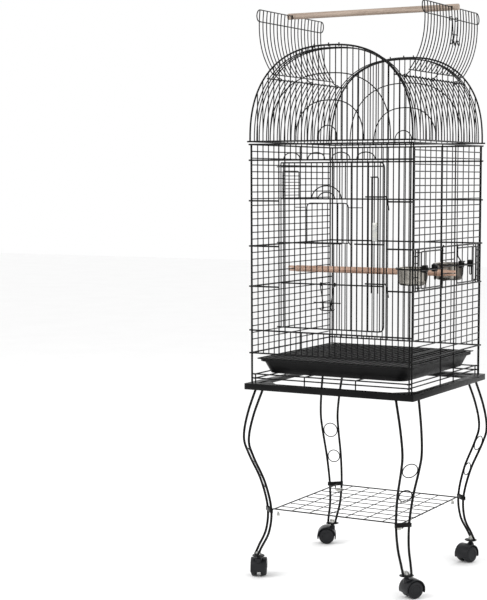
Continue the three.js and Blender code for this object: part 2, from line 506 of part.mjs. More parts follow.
// ---------- doors on the front ----------
const DOOR_Y = -CAGE_HALF - DOOR_OUTSET;
const DOOR_LEFT = faceX(DOOR_HINGE_STEP), DOOR_RIGHT = faceX(DOOR_JAMB_STEP) - DOOR_SHUT_GAP;
const HOOK_RAIL = DOOR_BOTTOM + HOOK_RAIL_RISE;
const ARCH_RAIL = DOOR_TOP - ARCH_RAIL_DROP;
const SILL_RAIL = ARCH_RAIL - SMALL_DOOR_RISE;
const DOOR_RAILS = [DOOR_BOTTOM + DOOR_LAP, HOOK_RAIL, SILL_RAIL, ARCH_RAIL, DOOR_TOP - 19, DOOR_TOP - 8];
// An eye on the wall's upright with the short tab that carries the door's edge wire.
function doorHinge(name, edge, z) {
  const ring = eye('z', DOOR_LEFT, -CAGE_HALF, z, DOOR_WIRE, DOOR_WIRE - 1);
  const tab = barX(DOOR_LEFT, edge - BAR_WIRE / 2 - GAP, DOOR_Y, z, DOOR_WIRE - 1.6);
  place(`door_hinge_${name}`, join([ring, tab]), BLACK_COAT);
}

function frontDoor() {
  const edge = DOOR_LEFT + DOOR_EDGE_INSET;
  const bottom = DOOR_RAILS[0], top = DOOR_RAILS[DOOR_RAILS.length - 1];
  const parts = [[edge, BAR_WIRE], [DOOR_RIGHT, DOOR_WIRE]]
    .map(([x, wire]) => barZ(x, DOOR_Y, bottom - RAIL_TIP, top + RAIL_TIP, wire));
  for (const z of DOOR_RAILS) parts.push(barX(edge, DOOR_RIGHT, DOOR_Y, z, DOOR_WIRE));
  for (const [name, z] of [['lower', bottom], ['middle', SILL_RAIL], ['upper', DOOR_RAILS[4]]]) doorHinge(name, edge, z);
  for (let step = DOOR_HINGE_STEP + 1; step < DOOR_JAMB_STEP - 1; step += 3) {
    const x = faceX(step);
    if (Math.abs(x - SMALL_DOOR_MID) > SMALL_DOOR_HALF) parts.push(barZ(x, DOOR_Y, bottom, top, BAR_WIRE));
    else parts.push(barZ(x, DOOR_Y, bottom, SILL_RAIL, BAR_WIRE), barZ(x, DOOR_Y, ARCH_RAIL, top, BAR_WIRE));
  }
  for (const half of DOOR_ARCS) {
    const arc = archPoints(half, half * ARC_SHAPE, 0, 180, 6, ARCH_RAIL).map(([x, z]) => [x + SMALL_DOOR_MID, z]);
    parts.push(ribbon(arc, BAR_WIRE, DOOR_Y));
  }
  place('front_door', join(parts), BLACK_COAT);
}

function smallDoor() {
  const y = DOOR_Y + DOOR_WIRE / 2 + CLEAR + BAR_WIRE / 2;
  const low = SILL_RAIL - RAIL_TIP, high = ARCH_RAIL - SMALL_DOOR_DROP;
  const parts = [low, high].map((z) => barX(SMALL_DOOR_MID - SMALL_DOOR_HALF - GUIDE_LAP, SMALL_DOOR_MID + SMALL_DOOR_HALF + GUIDE_LAP, y, z, BAR_WIRE));
  for (let i = 0; i <= 4; i += 1) {
    parts.push(barZ(SMALL_DOOR_MID - SMALL_DOOR_HALF + i * SMALL_DOOR_HALF / 2, y, low, high, BAR_WIRE));
  }
  place('small_door', join(parts), BLACK_COAT);
}

const LATCH_Y = DOOR_Y - DOOR_WIRE - CLEAR;
const LATCH_X = DOOR_RIGHT - LATCH_SPREAD * LATCH_HALF;
function doorLatch() {
  const low = HOOK_RAIL - LATCH_LOW_TIP, high = ARCH_RAIL + LATCH_HIGH_TIP;
  const parts = [-1, 1].map((side) => barZ(LATCH_X + side * LATCH_HALF, LATCH_Y, low, high, DOOR_WIRE));
  for (const z of [low, high]) parts.push(barX(LATCH_X - LATCH_HALF - RAIL_TIP, LATCH_X + LATCH_HALF + RAIL_TIP, LATCH_Y, z, DOOR_WIRE));
  const end = LATCH_X + LATCH_BAR_RIGHT;
  for (const z of [HOOK_RAIL, ARCH_RAIL].map((rail) => rail + LATCH_BAR_LIFT)) {
    parts.push(barX(LATCH_X - LATCH_BAR_LEFT, end, LATCH_Y, z, DOOR_WIRE));
    parts.push(ribbon([[end - 2, z + 2], [end + 2, z - 14], [end + 7, z - 38]], BAR_WIRE, LATCH_Y));
  }
  place('door_latch', join(parts), BLACK_COAT);
  const tab = box(
    LATCH_X, LATCH_Y, (low + high) / 2 + LATCH_TAB_LIFT,
    2 * LATCH_HALF - DOOR_WIRE - 2 * GAP, LATCH_TAB_WALL, LATCH_TAB_HEIGHT,
  );
  place('latch_tab', tab, ZINC);
}

// A wire hook that hangs from a door rail or a flap's grip loop by two eyes.
function hook(name, half, drop, at, turn) {
  const y = -(DOOR_WIRE * 0.75 + GAP + 1.3);
  const parts = [-1, 1].flatMap((side) => [
    eye('x', side * half, 0, 0, DOOR_WIRE, BAR_WIRE),
    barZ(side * half, y, -drop, 0, BAR_WIRE),
  ]);
  for (const share of [HOOK_CROSSBAR, 1]) parts.push(barX(-half, half, y, -drop * share, BAR_WIRE));
  place(name, join(parts), BLACK_COAT, at, turn);
}

// ---------- side doors ----------
function sideDoor() {
  const x = -CAGE_HALF - DOOR_OUTSET;
  const low = sideZ(SIDE_DOOR_LOW) - 1, high = sideZ(SIDE_DOOR_HIGH) + 3;
  const parts = [-1, 0, 1].map((side) => barZ(x, side * (SUPPORT_HALF + 4), low, high, BAR_WIRE));
  for (let i = 0; i <= 4; i += 1) {
    parts.push(barY(x, -SUPPORT_HALF - 6, SUPPORT_HALF + 6, low + i * (high - low) / 4, BAR_WIRE));
  }
  place('side_door', join(parts), BLACK_COAT);
}

const FEED_X = CAGE_HALF + DOOR_OUTSET;
const FEED_LOW = sideZ(FEED_STEP_LOW) + FEED_RAIL_INSET, FEED_HIGH = sideZ(FEED_STEP_HIGH) - FEED_RAIL_INSET;
const CUP_FOOT_Z = FEED_LOW + CUP_LIFT, CUP_RIM_Z = CUP_FOOT_Z + CUP_HEIGHT;
const HOLDER_Z = CUP_RIM_Z - CUP_SHOULDER - DOOR_WIRE / 2;
// One feeding door with its holder and cup; side is -1 at the front and 1 at the back.
function feeder(name, side, reach) {
  const hinge = side * FEED_HINGE, free = side * (SUPPORT_HALF + 5), cupY = hinge - side * reach;
  const along = (a, b) => [Math.min(a, b), Math.max(a, b)];
  const door = [FEED_LOW, FEED_HIGH].map((z) => barY(FEED_X, ...along(hinge, free), z, DOOR_WIRE));
  door.push(barZ(FEED_X, free, FEED_LOW - RAIL_TIP, FEED_HIGH + RAIL_TIP, DOOR_WIRE));
  door.push(barZ(FEED_X, hinge - side * FEED_POST_INSET, FEED_LOW, FEED_HIGH, DOOR_WIRE));
  for (const z of [FEED_LOW, FEED_HIGH]) door.push(eye('z', CAGE_HALF, hinge, z, DOOR_WIRE, DOOR_WIRE - 1));
  door.push(barY(FEED_X, ...along(hinge - side * FEED_POST_INSET, free), HOLDER_Z, BAR_WIRE));
  place(`feeder_door_${name}`, join(door), BLACK_COAT);

  const inner = CUP_R + CUP_PLAY, outer = inner + DOOR_WIRE;
  const loop = new THREE.Shape().absarc(0, 0, outer, 0, Math.PI * 2);
  loop.holes.push(new THREE.Path().absarc(0, 0, inner, 0, Math.PI * 2, true));
  const ring = new THREE.ExtrudeGeometry(loop, { depth: DOOR_WIRE, bevelEnabled: false, curveSegments: 9 })
    .translate(0, 0, -DOOR_WIRE / 2);
  const face = FEED_X - DOOR_WIRE / 2 - GAP - (CAGE_HALF - CUP_INSET);
  const holder = [ring];
  const armY = 0.75 * inner, armStart = Math.sqrt((inner + 1) ** 2 - armY ** 2);
  for (const end of [-1, 1]) {
    holder.push(box((armStart + face) / 2, end * armY, 0, face - armStart, DOOR_WIRE, DOOR_WIRE));
    holder.push(box(face - CLAMP_DEPTH / 2, end * armY, 5, CLAMP_DEPTH, CLAMP_WIDTH, CLAMP_HEIGHT));
  }
  const at = [CAGE_HALF - CUP_INSET, cupY, HOLDER_Z];
  place(`cup_holder_${name}`, join(holder), BLACK_COAT, at);

  const depth = CUP_HEIGHT, wall = CUP_WALL, bodyR = CUP_R - CUP_PLAY / 2;
  const cup = new THREE.LatheGeometry([
    [0, 0], [CUP_BASE_R, 0], [bodyR, depth - CUP_SHOULDER], [CUP_RIM_R, depth - RIM_DEPTH], [CUP_RIM_R, depth],
    [bodyR - wall, depth], [CUP_BASE_R - wall, wall], [0, wall],
  ].map(([r, h]) => new THREE.Vector2(r, h)), 18).rotateX(Math.PI / 2);
  place(`feed_cup_${name}`, cup, STEEL, [at[0], at[1], CUP_FOOT_Z]);
}

// ---------- tray and grate ----------
const TRAY_FOOT_Z = TRAY_BASE_Z + DOOR_WIRE / 2 + GAP;
const TRAY_RIM_Z = TRAY_FOOT_Z + TRAY_DEPTH;
function tray() {
  const outside = frustum(TRAY_HALF - TRAY_LIP, TRAY_FOOT_HALF, TRAY_FOOT_Z, TRAY_RIM_Z);
  const inside = frustum(TRAY_HALF - TRAY_LIP - TRAY_WALL, TRAY_FOOT_HALF - TRAY_WALL, TRAY_FOOT_Z + TRAY_WALL, TRAY_RIM_Z + 0.01);
  const lip = squareRing(TRAY_HALF, TRAY_HALF - TRAY_LIP - TRAY_WALL - 0.5, TRAY_RIM_Z - TRAY_WALL, TRAY_RIM_Z);
  place('tray', join([cut(outside, [inside]), lip]), TRAY_PLASTIC);
}

function grate() {
  const z = TRAY_RIM_Z + GAP + BAR_WIRE / 2;
  const parts = [-1, 0, 1].map((share) => barX(-GRATE_HALF, GRATE_HALF, share * GRATE_HALF, z, BAR_WIRE + 0.6));
  for (let i = 0; i <= 8; i += 1) {
    const x = -GRATE_HALF + i * GRATE_HALF / 4;
    parts.push(barY(x, -GRATE_HALF - 1, GRATE_HALF + 1, z, i % 8 === 0 ? BAR_WIRE + 0.6 : BAR_WIRE));
  }
  place('grate', join(parts).translate(0, 0, 0.3), BLACK_COAT);
}

// ---------- assembly ----------
const CASTER_HEADINGS = { front_left: -1.12, front_right: -2.19, back_right: 1.24, back_left: 0.45 };
baseFrame();
shelf();
for (const [name, sx, sy] of CORNERS) {
  leg(name, sx, sy);
  caster(name, sx, sy, CASTER_HEADINGS[name]);
  const diagonal = Math.atan2(sy, sx);
  wingNut(`caster_nut_${name}`, sx * CASTER_AXIS, sy * CASTER_AXIS, NUT_PLATE_Z + GAP, diagonal + 0.5);
  wingNut(`shelf_nut_${name}`, sx * (SHELF_HALF - 9), sy * (SHELF_HALF - 9), SHELF_Z - 20, diagonal + Math.PI / 2);
}
bottomFrame();
frontWall();
backWall();
sideWalls();
domeEnd('dome_front', -CAGE_HALF);
domeEnd('dome_back', CAGE_HALF);
domeSide('dome_side_left', -1);
domeSide('dome_side_right', 1);
domeHoop('dome_hoop_front', -HOOP_Y);
domeHoop('dome_hoop_back', HOOP_Y);
flap('left_flap', -1);
flap('right_flap', 1);
topPerch();
lowerPerch();
frontDoor();
smallDoor();
doorLatch();
hook('door_hook', 2.5 * FACE_PITCH, 74, [0, DOOR_Y, HOOK_RAIL], [0, 0, 0]);
const grip = opened(flapGrip);
hook('flap_latch', VAULT_PITCH, 75, [grip[0], VAULT_PITCH / 2, grip[1]], [0, 0, Math.PI / 2]);
sideDoor();
feeder('front', -1, CUP_BEFORE);
feeder('back', 1, CUP_BEHIND);
tray();
grate();

export default group;
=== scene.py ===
"""Looks of a wire bird cage on a wheeled stand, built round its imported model.

Metres, +Z up, origin on the floor at the middle of the stand, front door towards -Y.
"""
import json
import math

import bpy
from mathutils import Matrix, Vector

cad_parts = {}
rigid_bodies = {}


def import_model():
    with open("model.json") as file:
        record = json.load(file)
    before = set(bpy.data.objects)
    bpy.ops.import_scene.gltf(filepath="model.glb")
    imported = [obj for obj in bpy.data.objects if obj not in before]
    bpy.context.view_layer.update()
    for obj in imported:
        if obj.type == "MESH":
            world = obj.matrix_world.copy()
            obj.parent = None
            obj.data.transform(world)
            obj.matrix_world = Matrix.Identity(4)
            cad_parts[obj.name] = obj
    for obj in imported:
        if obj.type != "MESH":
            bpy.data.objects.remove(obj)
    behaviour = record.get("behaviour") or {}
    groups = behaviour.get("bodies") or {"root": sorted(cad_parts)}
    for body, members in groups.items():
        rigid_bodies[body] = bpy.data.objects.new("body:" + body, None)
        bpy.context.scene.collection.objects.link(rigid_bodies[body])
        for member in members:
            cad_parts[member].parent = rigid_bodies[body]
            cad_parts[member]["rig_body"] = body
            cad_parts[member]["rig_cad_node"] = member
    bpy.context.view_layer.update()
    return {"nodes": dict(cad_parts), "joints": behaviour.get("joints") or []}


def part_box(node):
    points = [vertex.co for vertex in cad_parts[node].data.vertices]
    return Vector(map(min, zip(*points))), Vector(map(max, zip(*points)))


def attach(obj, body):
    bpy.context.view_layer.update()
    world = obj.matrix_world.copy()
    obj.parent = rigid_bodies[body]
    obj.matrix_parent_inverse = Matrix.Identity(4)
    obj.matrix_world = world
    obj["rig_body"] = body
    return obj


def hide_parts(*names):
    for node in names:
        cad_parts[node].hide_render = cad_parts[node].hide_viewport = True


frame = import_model()
joints = {joint["name"]: joint for joint in frame["joints"]}


# ---------- sizes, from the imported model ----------
def middle(node):
    low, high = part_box(node)
    return (low + high) / 2


FRAME_WIRE = 0.0046
BAR_WIRE = 0.0032
DOOR_WIRE = 0.004
THIN_WIRE = 0.0024
CAGE_HALF = middle("right_panel").x
FACE_HALF = CAGE_HALF - 0.005
SIDE_HALF = CAGE_HALF - 0.006
FRAME_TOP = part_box("base_frame")[1].z
WALL_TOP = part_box("back_panel")[1].z - 0.002   # middle of the walls' top rail
DOME_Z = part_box("dome_front")[0].z + FRAME_WIRE / 2
DOME_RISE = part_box("dome_front")[1].z - FRAME_WIRE / 2 - DOME_Z
DOME_FULLNESS = 2.4
VAULT_HALF = CAGE_HALF - 0.006
VAULT_RISE = DOME_RISE - 0.006
FACE_STEPS, SIDE_STEPS, VAULT_STEPS, FLAP_PITCHES = 28, 31, 24, 18
FACE_PITCH = 2 * FACE_HALF / FACE_STEPS
WALL_FOOT = WALL_TOP - 0.5965
SIDE_PITCH = (WALL_TOP - WALL_FOOT) / SIDE_STEPS
VAULT_PITCH = 2 * CAGE_HALF / VAULT_STEPS
FLAP_HALF = FLAP_PITCHES / 2 * VAULT_PITCH
TIP = 0.009                       # rail ends that stand out past the corner posts
GAP = 0.0003                      # least gap between pieces that touch
EYE_RADIUS, EYE_WIRE = 0.0046, 0.003   # eyes that doors and hooks turn on
BAR_SET = (FRAME_WIRE + BAR_WIRE) / 2 - 0.0004   # bars are welded behind the rails
FEED_LOW_STEP, FEED_HIGH_STEP = 10, 16
SIDE_DOOR_LOW_STEP, SIDE_DOOR_HIGH_STEP = 23, 27
SUPPORT_HALF = 0.048
CORNERS = {"front_left": (-1, -1), "front_right": (1, -1), "back_right": (1, 1), "back_left": (-1, 1)}


def face_x(step):
    return -FACE_HALF + step * FACE_PITCH


def side_z(step):
    return WALL_FOOT + step * SIDE_PITCH


# ---------- finishes ----------
def new_finish(name, colour, roughness, metallic=0.0, gloss=0.5):
    material = bpy.data.materials.new(name)
    material.use_nodes = True
    shader = material.node_tree.nodes["Principled BSDF"]
    shader.inputs["Base Color"].default_value = (*colour, 1)
    shader.inputs["Roughness"].default_value = roughness
    shader.inputs["Metallic"].default_value = metallic
    shader.inputs["Specular IOR Level"].default_value = gloss
    return material, shader


def add_node(material, kind, **settings):
    node = material.node_tree.nodes.new(kind)
    for key, value in settings.items():
        if key in node.inputs:
            node.inputs[key].default_value = value
        else:
            setattr(node, key, value)
    return node


def object_noise(material, scale, stretch=(1, 1, 1), detail=4.0):
    """Noise on the piece's own coordinates; stretch divides the pattern's size along an axis."""
    link = material.node_tree.links.new
    place = add_node(material, "ShaderNodeTexCoord")
    turn = add_node(material, "ShaderNodeMapping", Scale=stretch)
    noise = add_node(material, "ShaderNodeTexNoise", Scale=scale, Detail=detail)
    link(place.outputs["Object"], turn.inputs["Vector"])
    link(turn.outputs["Vector"], noise.inputs["Vector"])
    return noise.outputs["Fac"]


def spread(material, fac, low, high, socket, start=0.3, end=0.7):
    """Runs a socket between two values, or two colours, as the pattern rises."""
    link = material.node_tree.links.new
    ramp = add_node(material, "ShaderNodeValToRGB")
    for stop, place, value in zip(ramp.color_ramp.elements, (start, end), (low, high)):
        stop.position = place
        stop.color = (*value, 1) if isinstance(value, tuple) else (value, value, value, 1)
    link(fac, ramp.inputs["Fac"])
    link(ramp.outputs["Color"], socket)


def raise_surface(material, shader, fac, strength, depth):
    link = material.node_tree.links.new
    bump = add_node(material, "ShaderNodeBump", Strength=strength, Distance=depth)
    link(fac, bump.inputs["Height"])
    link(bump.outputs["Normal"], shader.inputs["Normal"])


def powder_coat():
    """Satin black powder coat with the faint orange peel of a baked finish."""
    material, shader = new_finish("satin_black_powder_coat", (0.003, 0.003, 0.0032), 0.36, gloss=0.11)
    peel = object_noise(material, 700, detail=3)
    cloud = object_noise(material, 14)
    spread(material, cloud, (0.0018, 0.0018, 0.002), (0.0045, 0.0045, 0.0046), shader.inputs["Base Color"])
    spread(material, object_noise(material, 60), 0.3, 0.44, shader.inputs["Roughness"])
    raise_surface(material, shader, peel, 0.25, 0.0003)
    return material


def dowel_wood(name, pale, dark):
    """Sanded dowel: grain along X, with fine pores and a slow change of tone."""
    material, shader = new_finish(name, pale, 0.62)
    link = material.node_tree.links.new
    grain = object_noise(material, 9, stretch=(0.9, 22, 22), detail=8)
    pores = object_noise(material, 60, stretch=(1.2, 18, 18), detail=2)
    tone = add_node(material, "ShaderNodeMix", data_type="FLOAT")
    tone.inputs[0].default_value = 0.3
    link(grain, tone.inputs[2])
    link(pores, tone.inputs[3])
    spread(material, tone.outputs[0], dark, pale, shader.inputs["Base Color"], 0.36, 0.58)
    spread(material, pores, 0.75, 0.52, shader.inputs["Roughness"])
    raise_surface(material, shader, tone.outputs[0], 0.35, 0.0006)
    return material


def brushed_steel():
    """Spun stainless: fine rings round the cup, with soft upright light and dark streaks painted into its colour as
    reflections of the studio.
    """
    material, shader = new_finish("brushed_stainless", (0.3, 0.28, 0.25), 0.3, 1.0)
    rings = object_noise(material, 30, stretch=(0.6, 0.6, 60), detail=6)
    # painted reflection: upright light and dark streaks in the base colour stand for the studio's reflections on the
    # cup
    painted_reflection_streaks = object_noise(material, 34, stretch=(1, 1, 0.12), detail=2)
    spread(material, rings, 0.22, 0.4, shader.inputs["Roughness"])
    spread(material, painted_reflection_streaks, (0.07, 0.06, 0.052), (0.42, 0.4, 0.36), shader.inputs["Base Color"], 0.38, 0.6)
    raise_surface(material, shader, rings, 0.12, 0.0002)
    return material


def moulded_plastic(name, colour, lighter, roughness, gloss):
    """Moulded plastic with a fine leather-like grain."""
    material, shader = new_finish(name, colour, roughness, gloss=gloss)
    link = material.node_tree.links.new
    place = add_node(material, "ShaderNodeTexCoord")
    cells = add_node(material, "ShaderNodeTexVoronoi", Scale=900)
    link(place.outputs["Object"], cells.inputs["Vector"])
    spread(material, object_noise(material, 35), colour, lighter, shader.inputs["Base Color"])
    spread(material, object_noise(material, 120), roughness - 0.06, roughness + 0.08, shader.inputs["Roughness"])
    raise_surface(material, shader, cells.outputs["Distance"], 0.2, 0.0004)
    return material


def zinc_plate():
    material, shader = new_finish("zinc_plate", (0.52, 0.52, 0.5), 0.36, 1.0)
    spread(material, object_noise(material, 90), (0.46, 0.47, 0.47), (0.62, 0.61, 0.56), shader.inputs["Base Color"])
    spread(material, object_noise(material, 260), 0.28, 0.46, shader.inputs["Roughness"])
    raise_surface(material, shader, object_noise(material, 500), 0.15, 0.0003)
    return material


BLACK = ("black_coat", powder_coat())
TOP_WOOD = ("perch_wood", dowel_wood("beige_dowel", (0.36, 0.285, 0.23), (0.2, 0.145, 0.11)))
LOW_WOOD = ("perch_wood", dowel_wood("pinkish_dowel", (0.5, 0.33, 0.245), (0.32, 0.18, 0.12)))
STEEL = ("cup_steel", brushed_steel())
TRAY = ("tray_plastic",
        moulded_plastic("black_tray_plastic", (0.0035, 0.0035, 0.0037), (0.006, 0.006, 0.0062), 0.42, 0.12))
CHARCOAL = ("caster_plastic",
            moulded_plastic("charcoal_plastic", (0.0075, 0.008, 0.0095), (0.013, 0.0135, 0.015), 0.34, 0.2))
TREAD = ("caster_plastic",
         moulded_plastic("charcoal_tread", (0.009, 0.0095, 0.011), (0.016, 0.0165, 0.018), 0.4, 0.16))
ZINC = ("zinc", zinc_plate())


# ---------- making pieces ----------
def only(obj):
    """Selects this object alone and makes it the active one."""
    bpy.ops.object.select_all(action="DESELECT")
    obj.select_set(True)
    bpy.context.view_layer.objects.active = obj


def newest():
    return bpy.context.active_object


def clean(obj, outward=True):
    """Merges doubled points and turns the faces outwards."""
    only(obj)
    bpy.ops.object.mode_set(mode="EDIT")
    bpy.ops.mesh.select_all(action="SELECT")
    bpy.ops.mesh.remove_doubles(threshold=1e-6)
    if outward:
        bpy.ops.mesh.normals_make_consistent(inside=False)
    bpy.ops.object.mode_set(mode="OBJECT")


def soften(obj, width, segments=2, angle=40):
    """Rounds the sharp edges and smooths the shading."""
    only(obj)
    bevel = obj.modifiers.new("round_edges", "BEVEL")
    bevel.width = width
    bevel.segments = segments
    bevel.limit_method = "ANGLE"
    bevel.angle_limit = math.radians(angle)
    bpy.ops.object.modifier_apply(modifier=bevel.name)
    bpy.ops.object.shade_smooth_by_angle(angle=math.radians(angle))


def gather(objects):
    """Joins objects into the first one."""
    bpy.ops.object.select_all(action="DESELECT")
    for obj in objects:
        obj.select_set(True)
    bpy.context.view_layer.objects.active = objects[0]
    if len(objects) > 1:
        bpy.ops.object.join()
    return objects[0]


def hand_over(obj, name, finish, body, *nodes):
    """Gives a finished piece its name and finish, puts its place in its mesh, and lets it ride."""
    slot, material = finish
    only(obj)
    bpy.ops.object.transform_apply(location=True, rotation=True, scale=True)
    obj.name = name
    obj.data.name = name
    obj.data.materials.clear()
    obj.data.materials.append(material)
    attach(obj, body)
    if nodes:
        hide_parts(*nodes)


def along_x(x0, x1, y, z, thickness):
    return [(x0, y, z), (x1, y, z)], thickness, False


def along_y(x, y0, y1, z, thickness):
    return [(x, y0, z), (x, y1, z)], thickness, False


def along_z(x, y, z0, z1, thickness):
    return [(x, y, z0), (x, y, z1)], thickness, False


def bent(points, radius, thickness, steps=5, closed=False):
    """A wire through the points, with each corner bent to a radius."""
    points = [Vector(p) for p in points]
    count = len(points)
    route = []
    for i, corner in enumerate(points):
        if not closed and i in (0, count - 1):
            route.append(corner)
            continue
        back, on = points[i - 1] - corner, points[(i + 1) % count] - corner
        half_angle = back.angle(on) / 2
        if half_angle > math.radians(89):
            route.append(corner)
            continue
        reach = min(radius / math.tan(half_angle), back.length / 2, on.length / 2)
        start, end = corner + back.normalized() * reach, corner + on.normalized() * reach
        for step in range(steps + 1):
            t = step / steps
            route.append(start * (1 - t) ** 2 + corner * 2 * t * (1 - t) + end * t ** 2)
    return route, thickness, closed


def ring(centre, radius, axis, thickness, count=20):
    """A closed round wire about an axis."""
    across = Vector(axis).orthogonal().normalized()
    up = Vector(axis).normalized().cross(across)
    turns = [math.tau * i / count for i in range(count)]
    return [Vector(centre) + radius * (math.cos(a) * across + math.sin(a) * up) for a in turns], thickness, True


def eye(centre, axis, radius=EYE_RADIUS):
    """A small ring that a door or a hook turns on."""
    return ring(centre, radius, axis, EYE_WIRE, 16)


def wire_work(name, routes, body, *nodes, sides=8):
    """One black piece made of round wires: each route is its points, its thickness and whether it closes."""
    curve = bpy.data.curves.new(name, "CURVE")
    curve.dimensions = "3D"
    curve.bevel_depth = 1
    curve.bevel_resolution = (sides - 4) // 2
    curve.use_fill_caps = True
    for points, thickness, closed in routes:
        spline = curve.splines.new("POLY")
        spline.points.add(len(points) - 1)
        spline.use_cyclic_u = closed
        for knot, place in zip(spline.points, points):
            knot.co = (*place, 1)
            knot.radius = thickness / 2
    obj = bpy.data.objects.new(name, curve)
    bpy.context.collection.objects.link(obj)
    only(obj)
    bpy.ops.object.convert(target="MESH")
    obj = newest()
    clean(obj)
    bpy.ops.object.shade_smooth_by_angle(angle=math.radians(60))
    if body:
        hand_over(obj, name, BLACK, body, *nodes)
    return obj


def turned(profile, steps=40):
    """A solid turned about Z from a profile of (radius, height) points that starts and ends on the axis."""
    data = bpy.data.meshes.new("profile")
    points = [(radius, 0, height) for radius, height in profile]
    data.from_pydata(points, [(i, i + 1) for i in range(len(points) - 1)], [])
    obj = bpy.data.objects.new("profile", data)
    bpy.context.collection.objects.link(obj)
    only(obj)
    bpy.ops.object.mode_set(mode="EDIT")
    bpy.ops.mesh.select_all(action="SELECT")
    bpy.ops.mesh.spin(steps=steps, angle=math.tau, center=(0, 0, 0), axis=(0, 0, 1))
    bpy.ops.object.mode_set(mode="OBJECT")
    clean(obj)
    bpy.ops.object.shade_smooth_by_angle(angle=math.radians(35))
    return obj


def block(centre, size, rounding=0.0008, segments=2):
    """A block with rounded edges."""
    bpy.ops.object.select_all(action="DESELECT")
    bpy.ops.mesh.primitive_cube_add(size=1, location=centre)
    obj = newest()
    obj.scale = size
    only(obj)
    bpy.ops.object.transform_apply(location=True, rotation=True, scale=True)
    soften(obj, rounding, segments)
    return obj


def moved(obj, turn=0.0, shift=(0, 0, 0), lean=None):
    """Turns a part about X or Y by a quarter where lean names one, then about Z, then shifts it."""
    place = Matrix.Translation(Vector(shift)) @ Matrix.Rotation(turn, 4, "Z")
    if lean:
        place = place @ Matrix.Rotation(math.pi / 2, 4, lean)
    obj.data.transform(place)
    return obj


def rounded_copy(node, name, finish, body, width):
    """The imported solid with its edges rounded."""
    obj = frame["nodes"][node].copy()
    obj.data = obj.data.copy()
    obj.parent = None
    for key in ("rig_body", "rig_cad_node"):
        if key in obj:
            del obj[key]
    bpy.context.collection.objects.link(obj)
    clean(obj, outward=False)
    bpy.ops.object.mode_set(mode="EDIT")
    bpy.ops.mesh.select_all(action="SELECT")
    bpy.ops.mesh.dissolve_limited(angle_limit=math.radians(1))
    bpy.ops.object.mode_set(mode="OBJECT")
    soften(obj, width)
    hand_over(obj, name, finish, body, node)


# ---------- camera and light ----------
def set_camera():
    camera = bpy.data.objects.new("camera", bpy.data.cameras.new("camera"))
    bpy.context.collection.objects.link(camera)
    camera.location = (1.9211, -3.9844, 1.1595)
    camera.rotation_euler = (math.radians(90 - 6.131), 0, math.radians(28.385))
    camera.data.lens = 90.2
    camera.data.sensor_width = 36
    camera.data.shift_x = -0.0922
    camera.data.shift_y = 0.0696
    bpy.context.scene.camera = camera


def set_light():
    world = bpy.data.worlds.new("studio")
    bpy.context.scene.world = world
    world.use_nodes = True
    background = world.node_tree.nodes["Background"]
    background.inputs["Color"].default_value = (1, 1, 1, 1)
    background.inputs["Strength"].default_value = 1.0
    for name, place, size, power in (
        ("key", (-1.8, -2.6, 3.0), 1.8, 60),
        ("fill", (3.0, -1.2, 1.8), 2.0, 28),
        ("back", (0.4, 2.8, 2.6), 2.0, 30),
    ):
        lamp = bpy.data.lights.new(name, "AREA")
        lamp.energy = power
        lamp.size = size
        obj = bpy.data.objects.new(name, lamp)
        bpy.context.collection.objects.link(obj)
        obj.location = place
        obj.rotation_euler = (Vector((0, 0, 0.9)) - Vector(place)).to_track_quat("-Z", "Y").to_euler()
    bpy.context.scene.view_settings.view_transform = "Standard"


def lay_floor():
    bpy.ops.object.select_all(action="DESELECT")
    bpy.ops.mesh.primitive_plane_add(size=30, location=(0, 0, -0.0005))
    floor = newest()
    floor.name = "studio_floor"
    material, shader = new_finish("pale_floor", (0.96, 0.96, 0.96), 0.9, gloss=0.1)
    spread(material, object_noise(material, 3), (0.95, 0.95, 0.95), (0.97, 0.97, 0.97), shader.inputs["Base Color"])
    floor.data.materials.append(material)


# ---------- stand ----------
PLATE_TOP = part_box("caster_nut_front_left")[0].z - GAP
LEG_TOP = FRAME_TOP - 0.0023
SHELF_Z = middle("storage_shelf").z
SHELF_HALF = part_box("storage_shelf")[1].x - DOOR_WIRE / 2
CASTER_HALF = abs(joints["caster_swivel_front_left"]["pos_m"][0])
ROD_RADIUS = 0.0036
LEG_HEAD = CAGE_HALF - 0.022      # leg's line where it meets the frame
LEG_WAIST = CAGE_HALF - 0.039     # and at the shelf
LEG_RINGS, LEG_RING_WIRE = (0.591, 0.425), 0.003
STRAP_WALL, STRAP_HEIGHT, STRAP_OFFSET = 0.0024, 0.012, 0.0035
PLATE_WALL = 0.003


def leg_z(share):
    return PLATE_TOP + share * (LEG_TOP - PLATE_TOP)


LEG_LINE = [  # distance out from the middle in X and in Y, and height
    (LEG_HEAD, LEG_TOP - 0.001), (CAGE_HALF + 0.001, leg_z(0.823)), (CAGE_HALF + 0.01, leg_z(0.685)),
    (CAGE_HALF, leg_z(0.587)), (CAGE_HALF - 0.025, leg_z(0.433)), (LEG_WAIST, SHELF_Z + 0.004),
    (CAGE_HALF - 0.035, leg_z(0.142)), (CASTER_HALF - 0.004, leg_z(0.051)), (CASTER_HALF + 0.005, PLATE_TOP),
]


def smooth_line(points, steps=7):
    """Catmull-Rom line through the points."""
    points = [Vector(p) for p in points]
    padded = [2 * points[0] - points[1], *points, 2 * points[-1] - points[-2]]
    line = []
    for a, b, c, d in zip(padded, padded[1:], padded[2:], padded[3:]):
        for step in range(steps):
            t = step / steps
            bend, twist = 2 * a - 5 * b + 4 * c - d, 3 * b - a - 3 * c + d
            line.append(0.5 * (2 * b + (c - a) * t + bend * t ** 2 + twist * t ** 3))
    return [*line, points[-1]]


def rod_spread(z):
    """Half the distance between a leg's two rods."""
    share = min(1, max(0, (z - PLATE_TOP) / (LEG_TOP - PLATE_TOP)))
    return 0.012 + 0.022 * share ** 0.8


